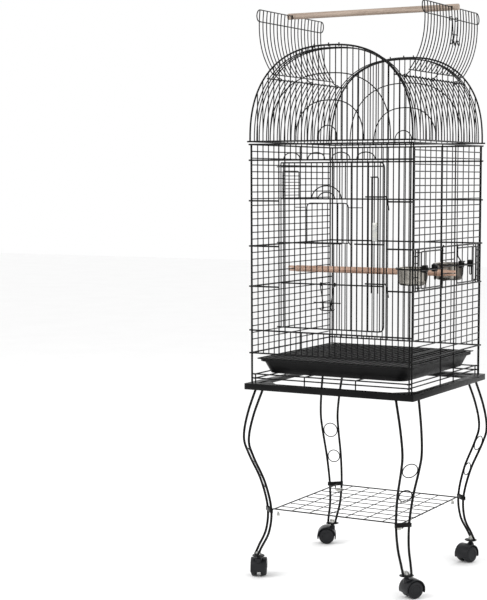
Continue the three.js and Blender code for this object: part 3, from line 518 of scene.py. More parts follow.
def make_leg(corner):
    sx, sy = CORNERS[corner]
    out, across = Vector((sx, sy, 0)), Vector((-sy, sx, 0)).normalized()
    line = [out * p.x + Vector((0, 0, p.y)) for p in smooth_line([(u, z, 0) for u, z in LEG_LINE])]
    routes = []
    for side in (-1, 1):
        routes.append(([p + across * side * rod_spread(p.z) for p in line], 2 * ROD_RADIUS, False))
    for share in LEG_RINGS:
        i = min(range(1, len(line) - 1), key=lambda k: abs(line[k].z - leg_z(share)))
        normal = (line[i + 1] - line[i - 1]).cross(across)
        radius = rod_spread(line[i].z) - ROD_RADIUS - 0.0007
        routes.append(ring(line[i], radius, normal, LEG_RING_WIRE, 40))
    rods = wire_work(f"leg_rods_{corner}", routes, None, sides=12)
    turn = math.atan2(sy, sx)
    diagonal = math.sqrt(2)
    straps = []
    for offset, lap in ((STRAP_OFFSET, 0.012), (-STRAP_OFFSET, 0.006)):
        size = (STRAP_WALL, 2 * rod_spread(SHELF_Z) + lap, STRAP_HEIGHT)
        straps.append(block((LEG_WAIST * diagonal + offset, 0, SHELF_Z), size, 0.0009))
    head = block((LEG_HEAD * diagonal - 0.012, 0, LEG_TOP - PLATE_WALL / 2),
                 (0.05, 2 * rod_spread(LEG_TOP) + 0.02, PLATE_WALL), 0.001)
    foot = turned([(0, 0), (0.0165, 0), (0.018, 0.0008), (0.018, 0.0022), (0.0165, PLATE_WALL), (0, PLATE_WALL)])
    foot.data.transform(Matrix.Diagonal((1.0, 1.15, 1, 1)))
    moved(foot, 0, (CASTER_HALF * diagonal, 0, PLATE_TOP - PLATE_WALL))
    plates = moved(gather([*straps, head, foot]), turn)
    hand_over(gather([rods, plates]), f"leg_rods_{corner}", BLACK, "cage", f"leg_{corner}")


def wing_nut():
    """A wing nut on the end of its bolt, its foot at the origin."""
    bolt = 0.0026
    hub = turned([(0, 0), (0.0048, 0), (0.0052, 0.0006), (0.0042, 0.0062), (bolt, 0.0068), (bolt, 0.0106),
                  (0.0018, 0.0112), (0, 0.0112)], 20)
    wings = [block((side * 0.0068, 0, 0.0066), (0.0076, 0.0019, 0.0078), 0.0018, 3) for side in (-1, 1)]
    return gather([hub, *wings])


def make_nuts():
    for corner, (sx, sy) in CORNERS.items():
        turn = math.atan2(sy, sx)
        nut = moved(wing_nut(), turn + 0.5, (sx * CASTER_HALF, sy * CASTER_HALF, PLATE_TOP + GAP))
        hand_over(nut, f"caster_wing_nut_{corner}", ZINC, "cage", f"caster_nut_{corner}")
        low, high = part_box(f"shelf_nut_{corner}")
        centre = (low + high) / 2
        nut = moved(wing_nut(), turn + math.pi / 2, (centre.x, centre.y, low.z))
        hand_over(nut, f"shelf_wing_nut_{corner}", ZINC, "cage", f"shelf_nut_{corner}")


def make_shelf():
    half, drop = SHELF_HALF, 0.012
    end = half + 0.006
    routes = []
    for side in (-1, 1):
        y = side * half
        hooked = [(-end, y, SHELF_Z - drop), (-end, y, SHELF_Z), (end, y, SHELF_Z), (end, y, SHELF_Z - drop)]
        routes.append(bent(hooked, 0.005, DOOR_WIRE))
        routes.append(along_y(side * half, -half, half, SHELF_Z, DOOR_WIRE))
    for i in range(1, 8):
        routes.append(along_x(-half, half, -half + i * half / 4, SHELF_Z - 0.0024, THIN_WIRE))
    for i in range(1, 7):
        routes.append(along_y(-half + i * half / 3.5, -half, half, SHELF_Z + 0.0004, THIN_WIRE))
    wire_work("shelf_wires", routes, "cage", "storage_shelf")


WHEEL_RADIUS, WHEEL_WIDTH, WHEEL_GAP = 0.025, 0.017, 0.012
HOOD_IN, HOOD_WALL, HOOD_SKIRT = WHEEL_RADIUS + 0.0016, 0.0036, 0.32
WEB_WIDTH = 0.0088


def make_casters():
    gap = WHEEL_GAP / 2
    reach = gap + WHEEL_WIDTH
    for corner in CORNERS:
        spin = joints[f"caster_spin_{corner}"]
        centre, axis = Vector(spin["pos_m"]), Vector(spin["axis"])
        heading = math.atan2(-axis.x, axis.y)
        half = [(0, reach - 0.0012), (0.0135, reach - 0.0012), (0.0145, reach), (0.0185, reach + 0.0002),
                (0.0205, reach - 0.001), (0.0228, reach - 0.0012), (0.0242, reach - 0.003),
                (WHEEL_RADIUS, reach - 0.0058), (WHEEL_RADIUS, gap + 0.004), (0.0238, gap + 0.0008), (0.0222, gap),
                (0.003, gap)]
        profile = [*half, *[(r, -h) for r, h in reversed(half)]]
        wheels = moved(turned(profile, 48), heading, centre, "X")
        hand_over(wheels, f"twin_wheels_{corner}", TREAD, f"wheels_{corner}", f"caster_wheels_{corner}")
        make_hood(corner, centre, heading, reach)


def swept_block(r0, r1, width, start, end, steps):
    """A block between two radii, swept about the axle from one angle to the other."""
    data = bpy.data.meshes.new("sweep")
    half = width / 2
    data.from_pydata([(r0, -half, 0), (r1, -half, 0), (r1, half, 0), (r0, half, 0)], [], [(0, 1, 2, 3)])
    obj = bpy.data.objects.new("sweep", data)
    bpy.context.collection.objects.link(obj)
    only(obj)
    obj.data.transform(Matrix.Rotation(-start, 4, "Y"))
    bpy.ops.object.mode_set(mode="EDIT")
    bpy.ops.mesh.select_all(action="SELECT")
    bpy.ops.mesh.spin(steps=steps, angle=end - start, center=(0, 0, 0), axis=(0, 1, 0))
    bpy.ops.object.mode_set(mode="OBJECT")
    clean(obj)
    return obj


def make_hood(corner, centre, heading, reach):
    hood = swept_block(HOOD_IN, HOOD_IN + HOOD_WALL, 2 * reach + 2 * GAP, -HOOD_SKIRT, math.pi + HOOD_SKIRT, 26)
    soften(hood, 0.0017, 3)
    web = swept_block(0.0046, HOOD_IN + 0.001, WEB_WIDTH, -0.1, math.pi + 0.1, 24)
    soften(web, 0.0005)
    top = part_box(f"caster_housing_{corner}")[1].z - centre.z
    swivel = joints[f"caster_swivel_{corner}"]["pos_m"]
    trail = math.hypot(centre.x - swivel[0], centre.y - swivel[1])
    foot, stem_radius = HOOD_IN - 0.008, 0.006
    stem = turned([(0, foot), (0.0085, foot), (0.0085, HOOD_IN + 0.0045), (0.007, HOOD_IN + 0.0055),
                   (stem_radius, HOOD_IN + 0.006), (stem_radius, top - 0.0006), (0.0054, top), (0, top)], 24)
    moved(stem, 0, (trail, 0, 0))
    collar = block((trail - 0.004, 0, HOOD_IN - 0.0012), (0.021, 0.019, 0.0084), 0.003, 3)
    housing = moved(gather([hood, web, stem, collar]), heading, centre)
    hand_over(housing, f"caster_hood_{corner}", CHARCOAL, f"caster_{corner}", f"caster_housing_{corner}")


# ---------- base, tray and grate ----------
TRAY_LOW, TRAY_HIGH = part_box("tray")
TRAY_HALF = TRAY_HIGH.x
TRAY_LIP, TRAY_TAPER, TRAY_WALL, TRAY_CORNER, LIP_DEPTH = 0.007, 0.024, 0.0024, 0.03, 0.006
BASE_INSET, BASE_RAIL_DROP = 0.01, 0.012


def make_base_wires():
    half = CAGE_HALF - BASE_INSET
    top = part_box("bottom_frame")[1].z - DOOR_WIRE / 2
    routes = []
    for z in (top, top - BASE_RAIL_DROP):
        for side in (-1, 1):
            routes.append(along_x(-half - TIP, half + TIP, side * half, z, DOOR_WIRE))
            routes.append(along_y(side * half, -half - TIP, half + TIP, z, DOOR_WIRE))
    front = -half - 0.003
    for x in (-half / 3, half / 3):
        routes.append(bent([(x, front, FRAME_TOP + 0.001), (x, front, top), (x, half, top)], 0.005, DOOR_WIRE))
    for sx, sy in ((-1, -1), (-1, 1), (1, -1), (1, 1)):
        routes.append(along_z(sx * half, sy * half, FRAME_TOP + GAP, top, DOOR_WIRE))
    wire_work("base_wires", routes, "cage", "bottom_frame")


def make_tray():
    """A tapered pan with rounded corners, a hollow and a rolled lip."""
    rim, foot = TRAY_HALF - TRAY_LIP, TRAY_HALF - TRAY_TAPER
    bpy.ops.object.select_all(action="DESELECT")
    bpy.ops.mesh.primitive_cube_add(size=2, location=(0, 0, 0))
    pan = newest()
    pan.name = "pan"
    depth = TRAY_HIGH.z - TRAY_LOW.z
    for vertex in pan.data.vertices:
        reach, level = (rim, TRAY_HIGH.z) if vertex.co.z > 0 else (foot, TRAY_LOW.z)
        vertex.co = (math.copysign(reach, vertex.co.x), math.copysign(reach, vertex.co.y), level)
    only(pan)
    bpy.ops.object.mode_set(mode="EDIT")
    bpy.ops.mesh.select_mode(type="EDGE")
    bpy.ops.mesh.select_all(action="DESELECT")
    bpy.ops.object.mode_set(mode="OBJECT")
    for edge in pan.data.edges:
        a, b = (pan.data.vertices[i].co for i in edge.vertices)
        edge.select = abs(a.z - b.z) > depth / 2
    bpy.ops.object.mode_set(mode="EDIT")
    bpy.ops.mesh.bevel(offset=TRAY_CORNER, segments=6, affect="EDGES")
    pick_top(pan)
    bpy.ops.mesh.inset(thickness=TRAY_WALL)
    bpy.ops.mesh.extrude_region_move(TRANSFORM_OT_translate={"value": (0, 0, TRAY_WALL - depth)})
    narrowing = (foot - 2 * TRAY_WALL) / (rim - TRAY_WALL)
    bpy.ops.transform.resize(value=(narrowing, narrowing, 1), center_override=(0, 0, 0))
    bpy.ops.object.mode_set(mode="OBJECT")
    clean(pan)
    soften(pan, 0.0012, 2, 30)
    lip = tray_lip(rim - TRAY_WALL, TRAY_LIP + TRAY_WALL)
    hand_over(gather([pan, lip]), "tray_pan", TRAY, "tray", "tray")


def pick_top(obj):
    """Selects, in edit mode, the faces that look straight up."""
    bpy.ops.mesh.select_mode(type="FACE")
    bpy.ops.mesh.select_all(action="DESELECT")
    bpy.ops.object.mode_set(mode="OBJECT")
    for face in obj.data.polygons:
        face.select = face.normal.z > 0.99
    bpy.ops.object.mode_set(mode="EDIT")


def rounded_square(half, radius):
    """Outline of a square with round corners."""
    points = []
    for sx, sy, start in ((1, 1, 0), (-1, 1, 90), (-1, -1, 180), (1, -1, 270)):
        for step in range(7):
            a = math.radians(start + 15 * step)
            points.append((sx * (half - radius) + radius * math.cos(a), sy * (half - radius) + radius * math.sin(a)))
    return points


def tray_lip(inner, width):
    """The flat lip round the pan's rim, with its edge turned down."""
    outer = inner + width
    inside, outside = rounded_square(inner, TRAY_CORNER), rounded_square(outer, TRAY_CORNER + width)
    under = [(x * (1 - TRAY_WALL / outer), y * (1 - TRAY_WALL / outer)) for x, y in outside]
    top = TRAY_HIGH.z
    levels = [(inside, top - TRAY_WALL), (inside, top), (outside, top),
              (outside, top - LIP_DEPTH), (under, top - LIP_DEPTH), (under, top - TRAY_WALL)]
    vertices = [(*p, z) for points, z in levels for p in points]
    rows, count = len(levels), len(outside)
    faces = []
    for row in range(rows):
        for i in range(count):
            here, above, after = row * count, (row + 1) % rows * count, (i + 1) % count
            faces.append((here + i, here + after, above + after, above + i))
    data = bpy.data.meshes.new("lip")
    data.from_pydata(vertices, [], faces)
    obj = bpy.data.objects.new("lip", data)
    bpy.context.collection.objects.link(obj)
    clean(obj)
    soften(obj, 0.0006, 2, 50)
    return obj


def make_grate():
    z = middle("grate").z
    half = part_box("grate")[1].x - 0.002
    routes = []
    for i in range(5):
        routes.append(along_x(-half, half, -half + i * half / 2, z - GAP, BAR_WIRE))
    for i in range(25):
        thickness = BAR_WIRE if i % 12 else DOOR_WIRE * 0.9
        routes.append(along_y(-half + i * half / 12, -half, half, z + GAP, thickness))
    wire_work("grate_wires", routes, "grate", "grate")


# ---------- walls ----------
DOOR_HINGE_STEP, DOOR_JAMB_STEP = 5, 24
DOOR_BOTTOM, DOOR_TOP = WALL_FOOT + 0.066, WALL_TOP - 0.0445   # the door's opening
SHOULDER_DROP, POST_LAP, FEED_POST_SPACING = 0.0056, 0.002, 0.017
FACE_RAILS = [WALL_FOOT, DOOR_BOTTOM, side_z(FEED_LOW_STEP), side_z(FEED_HIGH_STEP),
              side_z(SIDE_DOOR_LOW_STEP) - SHOULDER_DROP, DOOR_TOP, WALL_TOP]
FRONT_ONLY_RAILS = (DOOR_BOTTOM, side_z(FEED_LOW_STEP))


def face_wall(name, nodes, y, door):
    """Front or back wall; the front one leaves its door's opening free."""
    inward = -math.copysign(BAR_SET, y)
    routes = []
    left, right = face_x(DOOR_HINGE_STEP), face_x(DOOR_JAMB_STEP)
    for step in range(1, FACE_STEPS):
        x = face_x(step)
        if door and step in (DOOR_HINGE_STEP, DOOR_JAMB_STEP):
            routes.append(along_z(x, y, WALL_FOOT, WALL_TOP, DOOR_WIRE))
        elif door and left < x < right:
            routes.append(along_z(x, y + inward, WALL_FOOT, DOOR_BOTTOM, BAR_WIRE))
            routes.append(along_z(x, y + inward, DOOR_TOP, WALL_TOP, BAR_WIRE))
        else:
            routes.append(along_z(x, y + inward, WALL_FOOT, WALL_TOP, BAR_WIRE))
    for side in (-1, 1):
        routes.append(along_z(side * FACE_HALF, y, FRAME_TOP + GAP, WALL_TOP + POST_LAP, FRAME_WIRE))
    end = FACE_HALF + TIP
    for z in FACE_RAILS:
        if not door and z in FRONT_ONLY_RAILS:
            continue
        if door and DOOR_BOTTOM < z < DOOR_TOP:
            routes.append(along_x(-end, left, y, z, FRAME_WIRE))
            routes.append(along_x(right, end, y, z, FRAME_WIRE))
        else:
            routes.append(along_x(-end, end, y, z, FRAME_WIRE))
    if door:
        routes.extend(small_arch(*scallop, 0.02, y - 0.001, DOOR_TOP, 16, 0.8) for scallop in SCALLOPS)
    wire_work(name, routes, "cage", *nodes)


SCALLOPS = ((-0.117, 0.026), (-0.0395, 0.0265), (0.037, 0.028), (0.1135, 0.0275))   # middle and half width


def small_arch(middle_x, half, height, y, foot, steps, fullness=1.0):
    """A bar bent into an arch across X."""
    turns = [math.pi * step / steps for step in range(steps + 1)]
    points = [(middle_x + half * math.cos(a), y, foot + height * math.sin(a) ** fullness) for a in turns]
    return points, BAR_WIRE, False


def side_wall(name, node, x, skip, extra):
    """Side wall at x; skip lists openings as (y0, y1, first step, last step)."""
    end = SIDE_HALF + TIP
    routes = list(extra)
    for side in (-1, 1):
        routes.append(along_z(x, side * SIDE_HALF, FRAME_TOP + GAP, WALL_TOP + POST_LAP, FRAME_WIRE))
    for step in range(SIDE_STEPS + 1):
        z = side_z(step)
        edge = step in (0, SIDE_STEPS, FEED_LOW_STEP, FEED_HIGH_STEP)
        thickness = FRAME_WIRE if edge else BAR_WIRE
        y = -end if edge else -SIDE_HALF
        for y0, y1, low, high in skip:
            if low < step < high:
                routes.append(along_y(x, y, y0, z, thickness))
                y = y1
        routes.append(along_y(x, y, end if edge else SIDE_HALF, z, thickness))
    wire_work(name, routes, "cage", node)


FEED_HINGE = abs(joints["feeder_door_front_hinge"]["pos_m"][1])


def make_walls():
    front_nodes = [f"front_panel_{part}" for part in ("left", "right", "sill", "header")]
    face_wall("front_wall_wires", front_nodes, -CAGE_HALF, True)
    face_wall("back_wall_wires", ["back_panel"], CAGE_HALF, False)
    foot = FRAME_TOP + GAP
    supports = [along_z(side_x * CAGE_HALF, side * SUPPORT_HALF, foot, WALL_TOP, DOOR_WIRE)
                for side_x in (-1, 1) for side in (-1, 1)]
    posts = [along_z(CAGE_HALF, side * y, side_z(FEED_LOW_STEP), side_z(FEED_HIGH_STEP), DOOR_WIRE)
             for side in (-1, 1) for y in (FEED_HINGE, FEED_HINGE + FEED_POST_SPACING)]
    side_wall("left_wall_wires", "left_panel", -CAGE_HALF,
              [(-SUPPORT_HALF, SUPPORT_HALF, SIDE_DOOR_LOW_STEP, SIDE_DOOR_HIGH_STEP)], supports[:2])
    band = (FEED_LOW_STEP, FEED_HIGH_STEP)
    side_wall("right_wall_wires", "right_panel", CAGE_HALF,
              [(-FEED_HINGE, -SUPPORT_HALF, *band), (SUPPORT_HALF, FEED_HINGE, *band)], supports[2:] + posts)


# ---------- dome ----------
def arch_points(half, rise, start, end, count):
    """Outline of the full arch between two angles from the +X foot, as (x, z) points."""
    points = []
    power = 2 / DOME_FULLNESS
    for i in range(count + 1):
        a = math.radians(start + (end - start) * i / count)
        c, s = math.cos(a), math.sin(a)
        points.append((math.copysign(abs(c) ** power, c) * half, DOME_Z + abs(s) ** power * rise))
    return points


def arch_wire(half, rise, y, thickness, count):
    return [(x, y, z) for x, z in arch_points(half, rise, 0, 180, count)], thickness, False


def arch_height(x):
    return DOME_Z + DOME_RISE * (1 - (abs(x) / CAGE_HALF) ** DOME_FULLNESS) ** (1 / DOME_FULLNESS)


INNER_ARCHES = ((0.187, 0.185, 48), (0.105, 0.111, 36))   # half width, rise and steps
KEYHOLE_X, KEYHOLE_HALF, KEYHOLE_LEG = -0.005, 0.028, 0.014
APEX_PINS = (-0.049, -0.004, 0.028)
HOOP_SPACING = 0.014


def dome_end(name, node, y):
    inward = -math.copysign(BAR_SET, y)
    end = CAGE_HALF + TIP
    routes = [
        arch_wire(CAGE_HALF, DOME_RISE, y, FRAME_WIRE + 0.0006, 64),
        along_x(-end, end, y, DOME_Z, FRAME_WIRE),
        *(arch_wire(half, rise, y, BAR_WIRE, count) for half, rise, count in INNER_ARCHES),
    ]
    keyhole = small_arch(KEYHOLE_X, KEYHOLE_HALF, KEYHOLE_HALF, y, DOME_Z + KEYHOLE_LEG, 16)[0]
    feet = [(KEYHOLE_X + side * KEYHOLE_HALF, y, DOME_Z) for side in (1, -1)]
    routes.append(([feet[0], *keyhole, feet[1]], BAR_WIRE, False))
    for step in range(1, FACE_STEPS):
        x = face_x(step)
        routes.append(along_z(x, y + inward, DOME_Z, arch_height(x), BAR_WIRE))
    for x in APEX_PINS:
        routes.append(along_z(x, y + inward, arch_height(x) - 0.004, arch_height(x) + 0.0065, DOOR_WIRE))
    wire_work(name, routes, "cage", node)


HINGE = Vector(joints["right_flap_hinge"]["pos_m"])


def vault_angle(x):
    return math.degrees(math.acos((x / VAULT_HALF) ** (DOME_FULLNESS / 2)))


def dome_side(name, node, side):
    routes = [
        along_y(side * VAULT_HALF, -CAGE_HALF, CAGE_HALF, DOME_Z, FRAME_WIRE),
        along_y(side * HINGE.x, -CAGE_HALF, CAGE_HALF, HINGE.z, DOOR_WIRE),
    ]
    for step in range(FLAP_PITCHES + 1):
        rib = arch_points(VAULT_HALF, VAULT_RISE, 0, vault_angle(HINGE.x), 14)
        y = -FLAP_HALF + step * VAULT_PITCH
        routes.append(([(side * x, y, z) for x, z in rib], BAR_WIRE, False))
    wire_work(name, routes, "cage", node)


def dome_hoops(name, node, side):
    first = abs(middle("dome_hoop_front").y)
    spots = [side * (first + step * HOOP_SPACING) for step in range(3)]
    routes = [arch_wire(VAULT_HALF, VAULT_RISE, y, BAR_WIRE, 56) for y in spots]
    wire_work(name, routes, "cage", node)


# ---------- flaps ----------
FLAP_OPEN = math.radians(joints["right_flap_hinge"]["range_deg"][1])
RAIL_REACH, EDGE_X, LOOP_REACH = 0.014, 0.0036, 0.016


def opened(point):
    """A flap's point, given closed and relative to its hinge, once the right flap is open."""
    u, v = point
    return Vector((HINGE.x + u * math.cos(FLAP_OPEN) + v * math.sin(FLAP_OPEN), 0,
                   HINGE.z - u * math.sin(FLAP_OPEN) + v * math.cos(FLAP_OPEN)))


FLAP_LINE = [opened((x - HINGE.x, z - HINGE.z)) for x, z in
             arch_points(VAULT_HALF, VAULT_RISE, vault_angle(HINGE.x - RAIL_REACH), vault_angle(EDGE_X), 24)]
FLAP_EDGE = FLAP_LINE[-1]
FLAP_GRIP = Vector(joints["flap_latch_swing"]["pos_m"]) * Vector((1, 0, 1))


def grip_loop(side):
    """Long closed wire with round ends across a flap's free edge."""
    end = FLAP_HALF + LOOP_REACH
    centre, arm = (FLAP_EDGE + FLAP_GRIP) / 2, (FLAP_EDGE - FLAP_GRIP) / 2
    points = []
    for turn, y in ((90, end - arm.length), (270, arm.length - end)):
        for step in range(13):
            a = math.radians(turn - 15 * step)
            p = centre + arm * math.sin(a)
            points.append((side * p.x, y + arm.length * math.cos(a), p.z))
    return points, BAR_WIRE, True


def make_flap(name, node, side):
    routes = [grip_loop(side)]
    rail = FLAP_LINE[0]
    routes.append(along_y(side * rail.x, -FLAP_HALF - 0.004, FLAP_HALF + 0.004, rail.z, BAR_WIRE))
    for step in range(FLAP_PITCHES + 1):
        y = -FLAP_HALF + step * VAULT_PITCH
        routes.append(([(side * p.x, y, p.z) for p in FLAP_LINE], BAR_WIRE, False))
    for y in (-FLAP_HALF + VAULT_PITCH / 2, VAULT_PITCH / 2, FLAP_HALF - VAULT_PITCH / 2):
        pivot = Vector((side * HINGE.x, y, HINGE.z))
        routes.append(eye(pivot, (0, 1, 0), 0.0044))
        toward = (Vector((side * rail.x, y, rail.z)) - pivot).normalized()
        routes.append(([pivot + toward * 0.0048, Vector((side * rail.x, y, rail.z))], BAR_WIRE, False))
    wire_work(name, routes, node, node)


# ---------- perches ----------
def dowel(node, name, finish, body, notches, swell, tenon=0.0):
    """A dowel along X with rounded ends and the notches that seat it."""
    low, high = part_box(node)
    neck, half = (high.y - low.y) / 2, high.x
    round_end, radius, shoulder = 0.0015, neck * swell, half - tenon
    profile = [(0, -half), (neck - round_end, -half), (neck - 0.0004, -half + 0.0004), (neck, -half + round_end)]
    if tenon:
        profile += [(neck, -shoulder - 0.0012), (radius - 0.0004, -shoulder), (radius, -shoulder + 0.0008)]
    else:
        profile[1:] = [(radius - round_end, -half), (radius - 0.0004, -half + 0.0004), (radius, -half + round_end)]
    profile += [(r, -x) for r, x in reversed(profile)]
    obj = moved(turned(profile, 40), 0, (low + high) / 2, "Y")
    for place, size in notches:
        bpy.ops.object.select_all(action="DESELECT")
        bpy.ops.mesh.primitive_cube_add(size=1, location=place)
        cutter = newest()
        cutter.scale = size
        only(obj)
        notch = obj.modifiers.new("notch", "BOOLEAN")
        notch.object = cutter
        notch.operation = "DIFFERENCE"
        notch.solver = "EXACT"
        bpy.ops.object.modifier_apply(modifier=notch.name)
        bpy.data.objects.remove(cutter)
    only(obj)
    bpy.ops.object.shade_smooth_by_angle(angle=math.radians(35))
    hand_over(obj, name, finish, body, node)


PERCH_TENON = 0.026               # turned-down ends that pass through the side walls


def make_perches():
    top = middle("top_perch")
    room = 0.0027
    saddles = [((side * FLAP_EDGE.x, top.y, FLAP_EDGE.z - 0.01 + room), (2 * room, 0.03, 0.02)) for side in (-1, 1)]
    dowel("top_perch", "top_perch_dowel", TOP_WOOD, "top_perch", saddles, 1.1)
    low = middle("lower_perch")
    slots = [((side * (CAGE_HALF + 0.008), low.y, low.z), (0.024, 0.03, BAR_WIRE + 0.0006)) for side in (-1, 1)]
    dowel("lower_perch", "lower_perch_dowel", LOW_WOOD, "cage", slots, 1.16, PERCH_TENON)


# ---------- front door ----------
DOOR_Y = joints["door_hook_swing"]["pos_m"][1]
HOOK_RAIL = joints["door_hook_swing"]["pos_m"][2]
DOOR_LEFT, DOOR_RIGHT = face_x(DOOR_HINGE_STEP), face_x(DOOR_JAMB_STEP) - 0.005
DOOR_FOOT, DOOR_HEAD = DOOR_BOTTOM + 0.014, DOOR_TOP - 0.008
ARCH_RAIL = DOOR_TOP - 0.108
SILL_RAIL = ARCH_RAIL - 0.124
SMALL_DOOR_HALF, SMALL_DOOR_MIDDLE = 0.065, -0.004
SMALL_DOOR_Y = middle("small_door").y
DOOR_ARCHES = ((0.046, 0.036), (0.026, 0.018))   # half width and height
SILL_BREAK = (0.041, 0.082)       # the sill rail stops short of the latch here
HEAD_RAIL_DROP = 0.011


def make_front_door():
    left = DOOR_LEFT + 0.01
    corners = ((left, DOOR_HEAD), (DOOR_RIGHT, DOOR_HEAD), (DOOR_RIGHT, DOOR_FOOT), (left, DOOR_FOOT))
    outline = [(x, DOOR_Y, z) for x, z in corners]
    routes = [bent(outline, 0.016, DOOR_WIRE, 8), along_z(left, DOOR_Y, DOOR_FOOT, DOOR_HEAD, BAR_WIRE)]
    head_rail = DOOR_HEAD - HEAD_RAIL_DROP
    for z in (DOOR_FOOT, SILL_RAIL, head_rail):
        routes.append(eye((DOOR_LEFT, -CAGE_HALF, z), (0, 0, 1)))
        routes.append(along_x(DOOR_LEFT, left, DOOR_Y + 0.0005, z, EYE_WIRE))
    for z in (HOOK_RAIL, ARCH_RAIL, head_rail):
        routes.append(along_x(left, DOOR_RIGHT, DOOR_Y, z, DOOR_WIRE))
    for x0, x1 in ((left, SILL_BREAK[0]), (SILL_BREAK[1], DOOR_RIGHT)):
        routes.append(along_x(x0, x1, DOOR_Y, SILL_RAIL, DOOR_WIRE))
    for step in range(DOOR_HINGE_STEP + 1, DOOR_JAMB_STEP):
        x = face_x(step)
        if x > DOOR_RIGHT - 0.006:
            continue
        clear = abs(x - SMALL_DOOR_MIDDLE) > SMALL_DOOR_HALF - 0.004
        for z0, z1 in ((DOOR_FOOT, DOOR_HEAD),) if clear else ((DOOR_FOOT, SILL_RAIL), (ARCH_RAIL, DOOR_HEAD)):
            routes.append(along_z(x, DOOR_Y + 0.001, z0, z1, BAR_WIRE))
    low_side, high_side = SMALL_DOOR_MIDDLE - SMALL_DOOR_HALF, SMALL_DOOR_MIDDLE + SMALL_DOOR_HALF
    for x0, x1 in ((low_side - 0.034, low_side - 0.004), (high_side + 0.004, high_side + 0.046)):
        routes.append(along_x(x0, x1, DOOR_Y, ARCH_RAIL - 0.024, THIN_WIRE))
    for half, height in DOOR_ARCHES:
        routes.append(small_arch(SMALL_DOOR_MIDDLE - 0.0007, half, height, DOOR_Y - 0.001, ARCH_RAIL, 20))
    hinges = [f"door_hinge_{place}" for place in ("lower", "middle", "upper")]
    wire_work("front_door_wires", routes, "front_door", "front_door", *hinges)


def make_small_door():
    low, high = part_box("small_door")
    left, right = SMALL_DOOR_MIDDLE - SMALL_DOOR_HALF, SMALL_DOOR_MIDDLE + SMALL_DOOR_HALF
    bottom, top = low.z + BAR_WIRE / 2, high.z - BAR_WIRE / 2
    y = SMALL_DOOR_Y
    hoop = [(left - 0.007, y, bottom), (left, y, bottom + 0.007), (left, y, top), (right, y, top),
            (right, y, bottom + 0.007), (right + 0.007, y, bottom)]
    routes = [bent(hoop, 0.014, BAR_WIRE, 7), along_x(left, right, y, bottom + 0.004, BAR_WIRE)]
    for i in range(1, 8):
        x = left + i * (right - left) / 8
        routes.append(along_z(x, y, bottom + 0.004, top, BAR_WIRE * 0.9))
    wire_work("small_door_wires", routes, "small_door", "small_door")


LATCH_ARM = ((-0.029, 0), (0.026, 0), (0.033, 0.002), (0.038, -0.012), (0.042, -0.036))
LATCH_HALF = 0.0095


def make_latch():
    low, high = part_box("door_latch")
    tab_low, tab_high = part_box("latch_tab")
    y = (low.y + high.y) / 2
    x = (tab_low.x + tab_high.x) / 2
    left, right = x - LATCH_HALF, x + LATCH_HALF
    top, bottom = high.z - DOOR_WIRE / 2, low.z + 0.013
    slider = [(left, y, bottom), (left, y, top), (right, y, top), (right, y, bottom)]
    routes = [bent(slider, 0.0045, DOOR_WIRE), along_x(left - 0.004, x, y, top, BAR_WIRE)]
    for z in (HOOK_RAIL + 0.006, ARCH_RAIL + 0.006):
        routes.append(bent([(x + dx, y, z + dz) for dx, dz in LATCH_ARM], 0.006, DOOR_WIRE))
    wire_work("door_latch_wires", routes, "door_latch", "door_latch")
    centre, size = (tab_low + tab_high) / 2, tab_high - tab_low
    tab = block(centre, (size.x, size.y, size.z), 0.0007, 3)
    dimple = turned([(0, 0), (0.0045, 0), (0.0035, 0.0008), (0, 0.001)], 24)
    moved(dimple, 0, (centre.x, tab_low.y + 0.0002, centre.z + size.z * 0.3), "X")
    hand_over(gather([tab, dimple]), "latch_thumb_tab", ZINC, "door_latch", "latch_tab")


HOOK_CURL = ((0.022, 0), (0.013, 0.05), (0.011, 0.066), (0.016, 0.0735), (0.023, 0.068))   # out and down


def make_door_hook():
    front, z = DOOR_Y - EYE_RADIUS, HOOK_RAIL
    routes = []
    for side in (-1, 1):
        routes.append(eye((side * HOOK_CURL[0][0], DOOR_Y, z), (1, 0, 0)))
        routes.append(bent([(side * out, front, z - down) for out, down in HOOK_CURL], 0.006, BAR_WIRE))
    routes.append(along_x(-0.042, 0.042, front, z - 0.051, BAR_WIRE))
    routes.append(along_x(-0.014, 0.014, front, z - 0.0725, BAR_WIRE))
    wire_work("door_hook_wires", routes, "door_hook", "door_hook")


FLAP_BOW = ((0.013, 0.02), (0.021, 0.004), (0.033, 0.001), (0.033, 0.013), (0.009, 0.014), (0.001, 0))   # out and up
BOW_HALF = 0.02


def make_flap_latch():
    pivot = Vector(joints["flap_latch_swing"]["pos_m"])
    x = pivot.x + 0.0048
    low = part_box("flap_latch")[0].z + 0.003
    routes = []
    for side in (-1, 1):
        y = pivot.y + side * BOW_HALF
        routes.append(eye((pivot.x, y, pivot.z), (0, 1, 0)))
        bow = [(x, y, pivot.z)] + [(x, pivot.y + side * out, low + up) for out, up in FLAP_BOW]
        routes.append(bent(bow, 0.006, BAR_WIRE))
    routes.append(along_y(x, pivot.y - BOW_HALF, pivot.y + BOW_HALF, low + 0.03, BAR_WIRE))
    wire_work("flap_latch_wires", routes, "flap_latch", "flap_latch")


def make_side_door():
    low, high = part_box("side_door")
    x = (low.x + high.x) / 2
    bottom, top = low.z + BAR_WIRE / 2, high.z - BAR_WIRE / 2
    half = SUPPORT_HALF + 0.002
    hoop = [(x, -half, bottom), (x, -half, top), (x, half, top), (x, half, bottom)]
    routes = [bent(hoop, 0.008, BAR_WIRE, 6)]
    rungs = 8
    for i in range(rungs):
        z = bottom + i * (top - 0.014 - bottom) / (rungs - 1)
        routes.append(along_y(x, -half - 0.003, half + 0.003, z, THIN_WIRE))
    wire_work("side_door_wires", routes, "side_door", "side_door")


